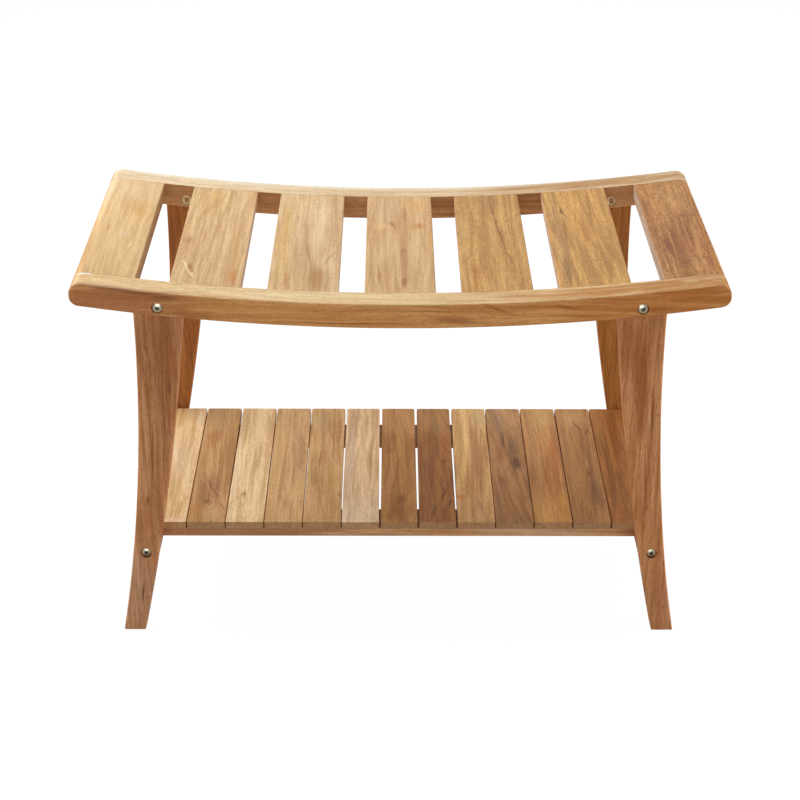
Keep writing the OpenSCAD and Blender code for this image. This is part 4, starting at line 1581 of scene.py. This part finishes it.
        (80, 246, 16, 2, "#7E5C3E", 0.7, 20), (40, 236, 40, 6, "#8E684A", 0.6), (20, 218, 100, 5, "#B28A5C", 0.65),
        (-70, 240, 60, 10, "#7E5A48", 0.8), (-25, 237, 16, 3, "#684A34", 0.7), (-105, 214, 34, 4, "#A67E56", 0.7),
        (-60, 246, 70, 2, "#94705A", 0.6)),
    "shelf_slat_13": marks(
        (80, 262, 50, 5, "#9A7048", 0.7), (0, 276, 24, 10, "#A8683C", 0.6), (60, 280, 60, 8, "#8A4E24", 0.6),
        (-60, 262, 60, 5, "#84583A", 0.6)),
    "shelf_rail": marks(
        (-190, 0, 170, 1e4, "#AC7F60", 0.8), (160, 0, 70, 1e4, "#D6B496", 0.7), (285, 0, 26, 1e4, "#9A6E4C", 0.8)),
}


def by_name(*boards: OiledTeak) -> dict[str, OiledTeak]:
    """Gives the boards their markings, painted light and shade among them, and sorts them by name."""
    return {board.name: replace(board, figures_and_painted_light=FIGURES_AND_PAINTED_LIGHT.get(board.name, board.figures_and_painted_light)) for board in boards}


def seat_finishes() -> dict[str, OiledTeak]:
    """Gives each board of the seat its tone and markings, as teak from several trees, darker to the right partly as
    painted light.

    Returns:
        The finishes by the boards' names.
    """
    # The boards darken to the right partly as a painted falloff of the light from the left. The rails' side tones are
    # painted shade on their front and inner faces. pale is a painted highlight on the slats' upright faces, and the
    # left end board's upright faces take painted shade.
    along_x, pale = Grain.BENCH_LENGTH, "#E6CBB0"
    return by_name(
        OiledTeak("rail_front", "#E6C698", "#DAB485", "#A87444", along_x, rings=0.15, pith_mm=(-60.0, 30.0),
                  lean=(0.03, 0.01), ring_mm=6.0, seed=1.3, painted_side_shade="#EDCCAC", stain=(1.19, 1.15, 1.05)),
        OiledTeak("rail_back", "#EED8B6", "#E4C7A0", "#BC8A5A", along_x, rings=0.25, pith_mm=(50.0, -30.0),
                  lean=(0.03, 0.02), wander_mm=4.0, seed=2.7, painted_side_shade="#D6B599", stain=(1.06, 1.03, 0.96)),
        OiledTeak("end_board_left", "#EACA98", "#E0BC8B", "#C29560", seed=3.1, pores=0.35, fibres=0.07, rings=0.2,
                  stain=(1.09, 1.04, 0.95), painted_side_light_and_shade="#B08A66"),
        OiledTeak("seat_slat_1", "#E4C398", "#D6AF80", "#AC7A4C", seed=4.7, pores=0.35, rings=0.3,
                  pith_mm=(-62.0, -46.0), lean=(0.05, 0.03), stain=(1.11, 1.07, 0.95), painted_side_light_and_shade=pale),
        OiledTeak("seat_slat_2", "#E2C297", "#D4AE83", "#A67A50", seed=5.9, pores=0.4, rings=0.25,
                  pith_mm=(58.0, -50.0), stain=(1.15, 1.13, 1.05), painted_side_light_and_shade=pale),
        OiledTeak("seat_slat_3", "#DFBE94", "#D2AA7D", "#A2713F", seed=6.4, pores=0.45, rings=0.25,
                  pith_mm=(-60.0, -50.0), stain=(1.15, 1.09, 0.94), painted_side_light_and_shade=pale),
        OiledTeak("seat_slat_4", "#D4AA70", "#C2955D", "#8C5E32", seed=7.2, pores=0.7, fibres=0.15, rings=0.15,
                  streaks=1.2, stain=(1.16, 1.05, 0.79), painted_side_light_and_shade=pale),
        OiledTeak("seat_slat_5", "#D6AA6C", "#C3955C", "#8A5C34", seed=8.8, pores=0.7, fibres=0.15, rings=0.25,
                  streaks=1.2, lean=(0.05, 0.05), pith_mm=(-56.0, -60.0), slope=-3.0, stain=(1.19, 1.08, 0.8),
                  painted_side_light_and_shade=pale),
        OiledTeak("end_board_right", "#C6966A", "#B27F54", "#784426", seed=9.6, pores=1.0, fibres=0.25, rings=0.12,
                  streaks=1.5, stain=(1.11, 0.95, 0.60), painted_side_light_and_shade="#DECBB6"),
    )


def leg_finishes() -> dict[str, OiledTeak]:
    """Gives each leg its tone and its long upright streaks.

    Returns:
        The finishes by the boards' names.
    """
    # The side tones are painted shade on the legs' upright faces, which are all their long faces
    common = {"grain": Grain.UPRIGHT, "ring_mm": 5.0, "rings": 0.35, "pores": 0.8, "fibres": 0.13,
              "specks": 0.25, "streaks": 1.3}
    return by_name(
        OiledTeak("leg_front_left", "#D8AE88", "#C8986E", "#7E4C2C", **common, pith_mm=(40.0, -30.0),
                  lean=(0.1, 0.02), painted_side_shade="#F7E0C6", stain=(1.08, 1.05, 1.06), seed=10.3),
        OiledTeak("leg_front_right", "#D8AA78", "#C4905E", "#74441F", **common, pith_mm=(-50.0, -20.0),
                  lean=(-0.1, 0.02), painted_side_shade="#F7DDC0", stain=(1.20, 1.23, 1.52), seed=11.9),
        OiledTeak("leg_back_left", "#C4935F", "#B4835A", "#6E4628", **common, painted_side_shade="#EECFA8", seed=12.5),
        OiledTeak("leg_back_right", "#C4965F", "#B68759", "#6E4628", **common, painted_side_shade="#EECFA8", seed=13.1),
    )


def shelf_finishes() -> dict[str, OiledTeak]:
    """Gives each slat of the shelf its tone and markings, light and dark slats side by side, darker to the right partly
    as painted light.

    Returns:
        The finishes by the boards' names.
    """
    # The side tone is painted shade on the slats' upright faces
    common = {"ring_mm": 7.0, "pores": 0.45, "rings": 0.2, "painted_side_shade": "#F0D0A8", "end_wash": "#CB9C71",
              "streaks": 1.6}
    stains = (
        (1.05, 1.10, 1.21), (1.04, 1.03, 0.92), (1.11, 1.12, 1.13), (1.11, 1.11, 1.08), (1.16, 1.17, 1.11),
        (1.21, 1.26, 1.24), (1.06, 0.92, 0.60), (1.08, 0.92, 0.51), (1.20, 1.19, 1.10), (1.13, 1.00, 0.76),
        (1.18, 1.13, 0.91), (1.18, 1.06, 0.87), (1.27, 1.26, 0.91),
    )
    slopes = {2: -3.0, 10: -5.0, 9: 2.0, 12: 1.5, 6: 1.0, 5: -1.0}
    tones = (
        ("#E4BE88", "#D8AC72", "#A8783E"), ("#C49A6C", "#B4875A", "#7E5234"), ("#E6C899", "#DAB584", "#A67A48"),
        ("#D2AA78", "#C49B6C", "#8E6440"), ("#C8A070", "#B98F60", "#8A5E36"), ("#D6B48E", "#C6A27C", "#94683E"),
        ("#B48A60", "#A1764C", "#6A4020"), ("#9E7250", "#8A5E40", "#54301A"), ("#C89E6C", "#B58858", "#7E5230"),
        ("#AC845E", "#97714F", "#5E402A"), ("#BC8C5C", "#AB7A4E", "#74482A"), ("#AE8458", "#9C7450", "#563A2A"),
        ("#A06A42", "#8E5C36", "#5E3418"))
    # Tones and shares that slats take on towards the back and the front: the deep tone at the back is painted shade
    # under the seat and the pale tone at the front painted light, and some dark slats turn greyer and paler at the back
    back = {7: ("#B49C84", 0.14), 8: ("#B49C84", 0.3), 9: ("#B8A080", 0.12), 10: ("#C0A88C", 0.24),
            11: ("#A48A6C", 0.25)}
    dark = {1: 0.15, 3: 0.2, 4: 0.25, 5: 0.25, 6: 0.3}
    front = {1: ("#D8B080", 0.2), 6: ("#EAD6BC", 0.45), 11: ("#D8A468", 0.4)}
    slats = (
        OiledTeak(f"shelf_slat_{n}", *tone, **common, seed=14.0 + 1.7 * n, stain=stain, slope=slopes.get(n, 0.0))
        for n, (tone, stain) in enumerate(zip(tones, stains), 1))
    # The rails' side tone is painted shade on their upright faces
    rails = (
        OiledTeak(name, "#D2AA86", "#C49774", "#8A5A3C", Grain.BENCH_LENGTH, painted_side_shade="#FBEEDA",
                  stain=(1.31, 1.31, 1.31), seed=seed, figures_and_painted_light=FIGURES_AND_PAINTED_LIGHT["shelf_rail"])
        for name, seed in (("shelf_rail_front", 40.2), ("shelf_rail_back", 41.5)))
    stretchers = (
        OiledTeak(name, "#CFA27A", "#BE8E66", "#84563A", seed=seed)
        for name, seed in (("stretcher_left", 43.3), ("stretcher_right", 44.8)))
    finishes = by_name(*slats, *rails, *stretchers)
    for n, tone in enumerate(tones, 1):
        slat = finishes[f"shelf_slat_{n}"]
        # Painted shade at the back of each slat and painted light at its front
        ends = marks((135, 0, 75, 1e4, *back.get(n, (tone[2], dark.get(n, 0.0)))),
                     (-130, 0, 60, 1e4, *front.get(n, (tone[0], 0.35))))
        finishes[slat.name] = replace(slat, figures_and_painted_light=(*slat.figures_and_painted_light, *ends))
    return finishes


# ---------------------------------------------------------------- studio


@dataclass
class Studio:
    """White floor, soft light all round and the photograph's viewpoint."""

    softboxes: tuple[tuple, ...] = (
        ("softbox_behind_left", (-1.1, 0.7, 1.35), (0, 0, 0.35), 1.0, 15.0),
        ("softbox_behind", (0.3, 1.6, 1.6), (0, 0, 0.35), 1.4, 12.0),
        ("softbox_left", (-2.0, -0.1, 0.3), (0, 0, 0.25), 0.9, 18.0),
        ("softbox_right", (2.0, -0.1, 0.3), (0, 0, 0.25), 0.9, 30.0),
        ("softbox_front", (-0.3, -2.2, 0.6), (0, 0, 0.2), 1.6, 10.5))
    elevation: float = 28.999
    azimuth: float = -0.410
    roll: float = 0.308
    distance: float = 2.10117
    target: Triple = (0.00128, 0.0, 0.22477)
    lens: float = 76.58
    sensor_width: float = 36.0
    clip: Pair = (0.05, 60.0)
    ambient: float = 0.35
    floor_half: float = 9.0
    floor_bounce: float = 0.45
    floor_glow: float = 1.06
    shadow_share: float = 0.10

    def build(self) -> None:
        """Builds the camera, floor, world and lamps."""
        self.camera()
        self.floor()
        self.world()
        for row in self.softboxes:
            self.lamp(*row)
        bpy.context.scene.view_settings.view_transform = "Standard"

    def camera(self) -> None:
        """Stands the camera where the photograph was taken from."""
        el, az = math.radians(self.elevation), math.radians(self.azimuth)
        back = Vector((math.sin(az) * math.cos(el), -math.cos(az) * math.cos(el), math.sin(el)))
        data = bpy.data.cameras.new("camera")
        data.lens, data.sensor_width = self.lens, self.sensor_width
        data.clip_start, data.clip_end = self.clip
        camera = bpy.data.objects.new("camera", data)
        right = (-back).cross(Z_AXIS).normalized()
        up = right.cross(-back)
        roll = math.radians(self.roll)
        turned_right = right * math.cos(roll) + up * math.sin(roll)
        turned_up = up * math.cos(roll) - right * math.sin(roll)
        axes = Matrix((turned_right, turned_up, back)).transposed()
        camera.matrix_world = Matrix.Translation(Vector(self.target) + back * self.distance) @ axes.to_4x4()
        bpy.context.scene.collection.objects.link(camera)
        bpy.context.scene.camera = camera

    @staticmethod
    def seen(add: Adder) -> Node:
        """Is 1 for what the camera sees, and 0 for light that falls on the bench."""
        path = add("LightPath").outputs
        return add("Math.MAXIMUM", path["Is Camera Ray"], path["Is Transmission Ray"])

    def floor(self) -> None:
        """Lays a white floor that keeps a faint shadow and can be looked through from below."""
        mesh = bmesh.new()
        bmesh.ops.create_grid(mesh, x_segments=1, y_segments=1, size=self.floor_half)
        floor = to_object("studio_floor", mesh)
        material = fresh_material("white_studio_paper")
        add = partial(add_node, material.node_tree)
        seen = self.seen(add)
        tone = add("Mix", into={0: seen, 6: (self.floor_bounce,) * 3 + (1.0,), 7: WHITE}, **COLOURS)
        white = add("Emission", WHITE, self.floor_glow)
        share = add("Math.MULTIPLY", seen, 1.0 - self.shadow_share)
        sheet = add("MixShader", share, add("BsdfDiffuse", tone), white)
        below = add("NewGeometry").outputs["Backfacing"]
        add("OutputMaterial", add("MixShader", below, sheet, add("BsdfTransparent")))
        floor.data.materials.append(material)

    def world(self) -> None:
        """Fills the room with even light that looks white."""
        world = bpy.data.worlds.new("white_room")
        world.use_nodes = True
        world.node_tree.nodes.clear()
        add = partial(add_node, world.node_tree)
        strength = add("MapRange", self.seen(add), 0.0, 1.0, self.ambient, 1.0)
        add("OutputWorld", add("Background", WHITE, strength))
        bpy.context.scene.world = world

    @staticmethod
    def lamp(name: str, place: Triple, aim: Triple, size: float, watts: float) -> None:
        """Hangs a square softbox.

        Args:
            name: Name of the lamp.
            place: Where it hangs.
            aim: What it looks at.
            size: Length of its side.
            watts: Its power.
        """
        data = bpy.data.lights.new(name, "AREA")
        data.shape, data.size, data.energy = "SQUARE", size, watts
        lamp = bpy.data.objects.new(name, data)
        lamp.location = place
        lamp.rotation_euler = (Vector(aim) - Vector(place)).to_track_quat("-Z", "Y").to_euler()
        bpy.context.scene.collection.objects.link(lamp)


def main() -> None:
    """Builds the studio and the bench."""
    logging.basicConfig(level=logging.INFO, format="%(name)s: %(message)s")
    Studio().build()
    seat = Seat(finishes=seat_finishes())
    legs = Legs(finishes=leg_finishes())
    shelf = Shelf(bolt_x=legs.bolt_x, finishes=shelf_finishes())
    seat.build()
    legs.build()
    shelf.build()
    Hardware(seat, legs, shelf).build()
    bpy.context.view_layer.update()


if __name__ == "__main__":
    main()
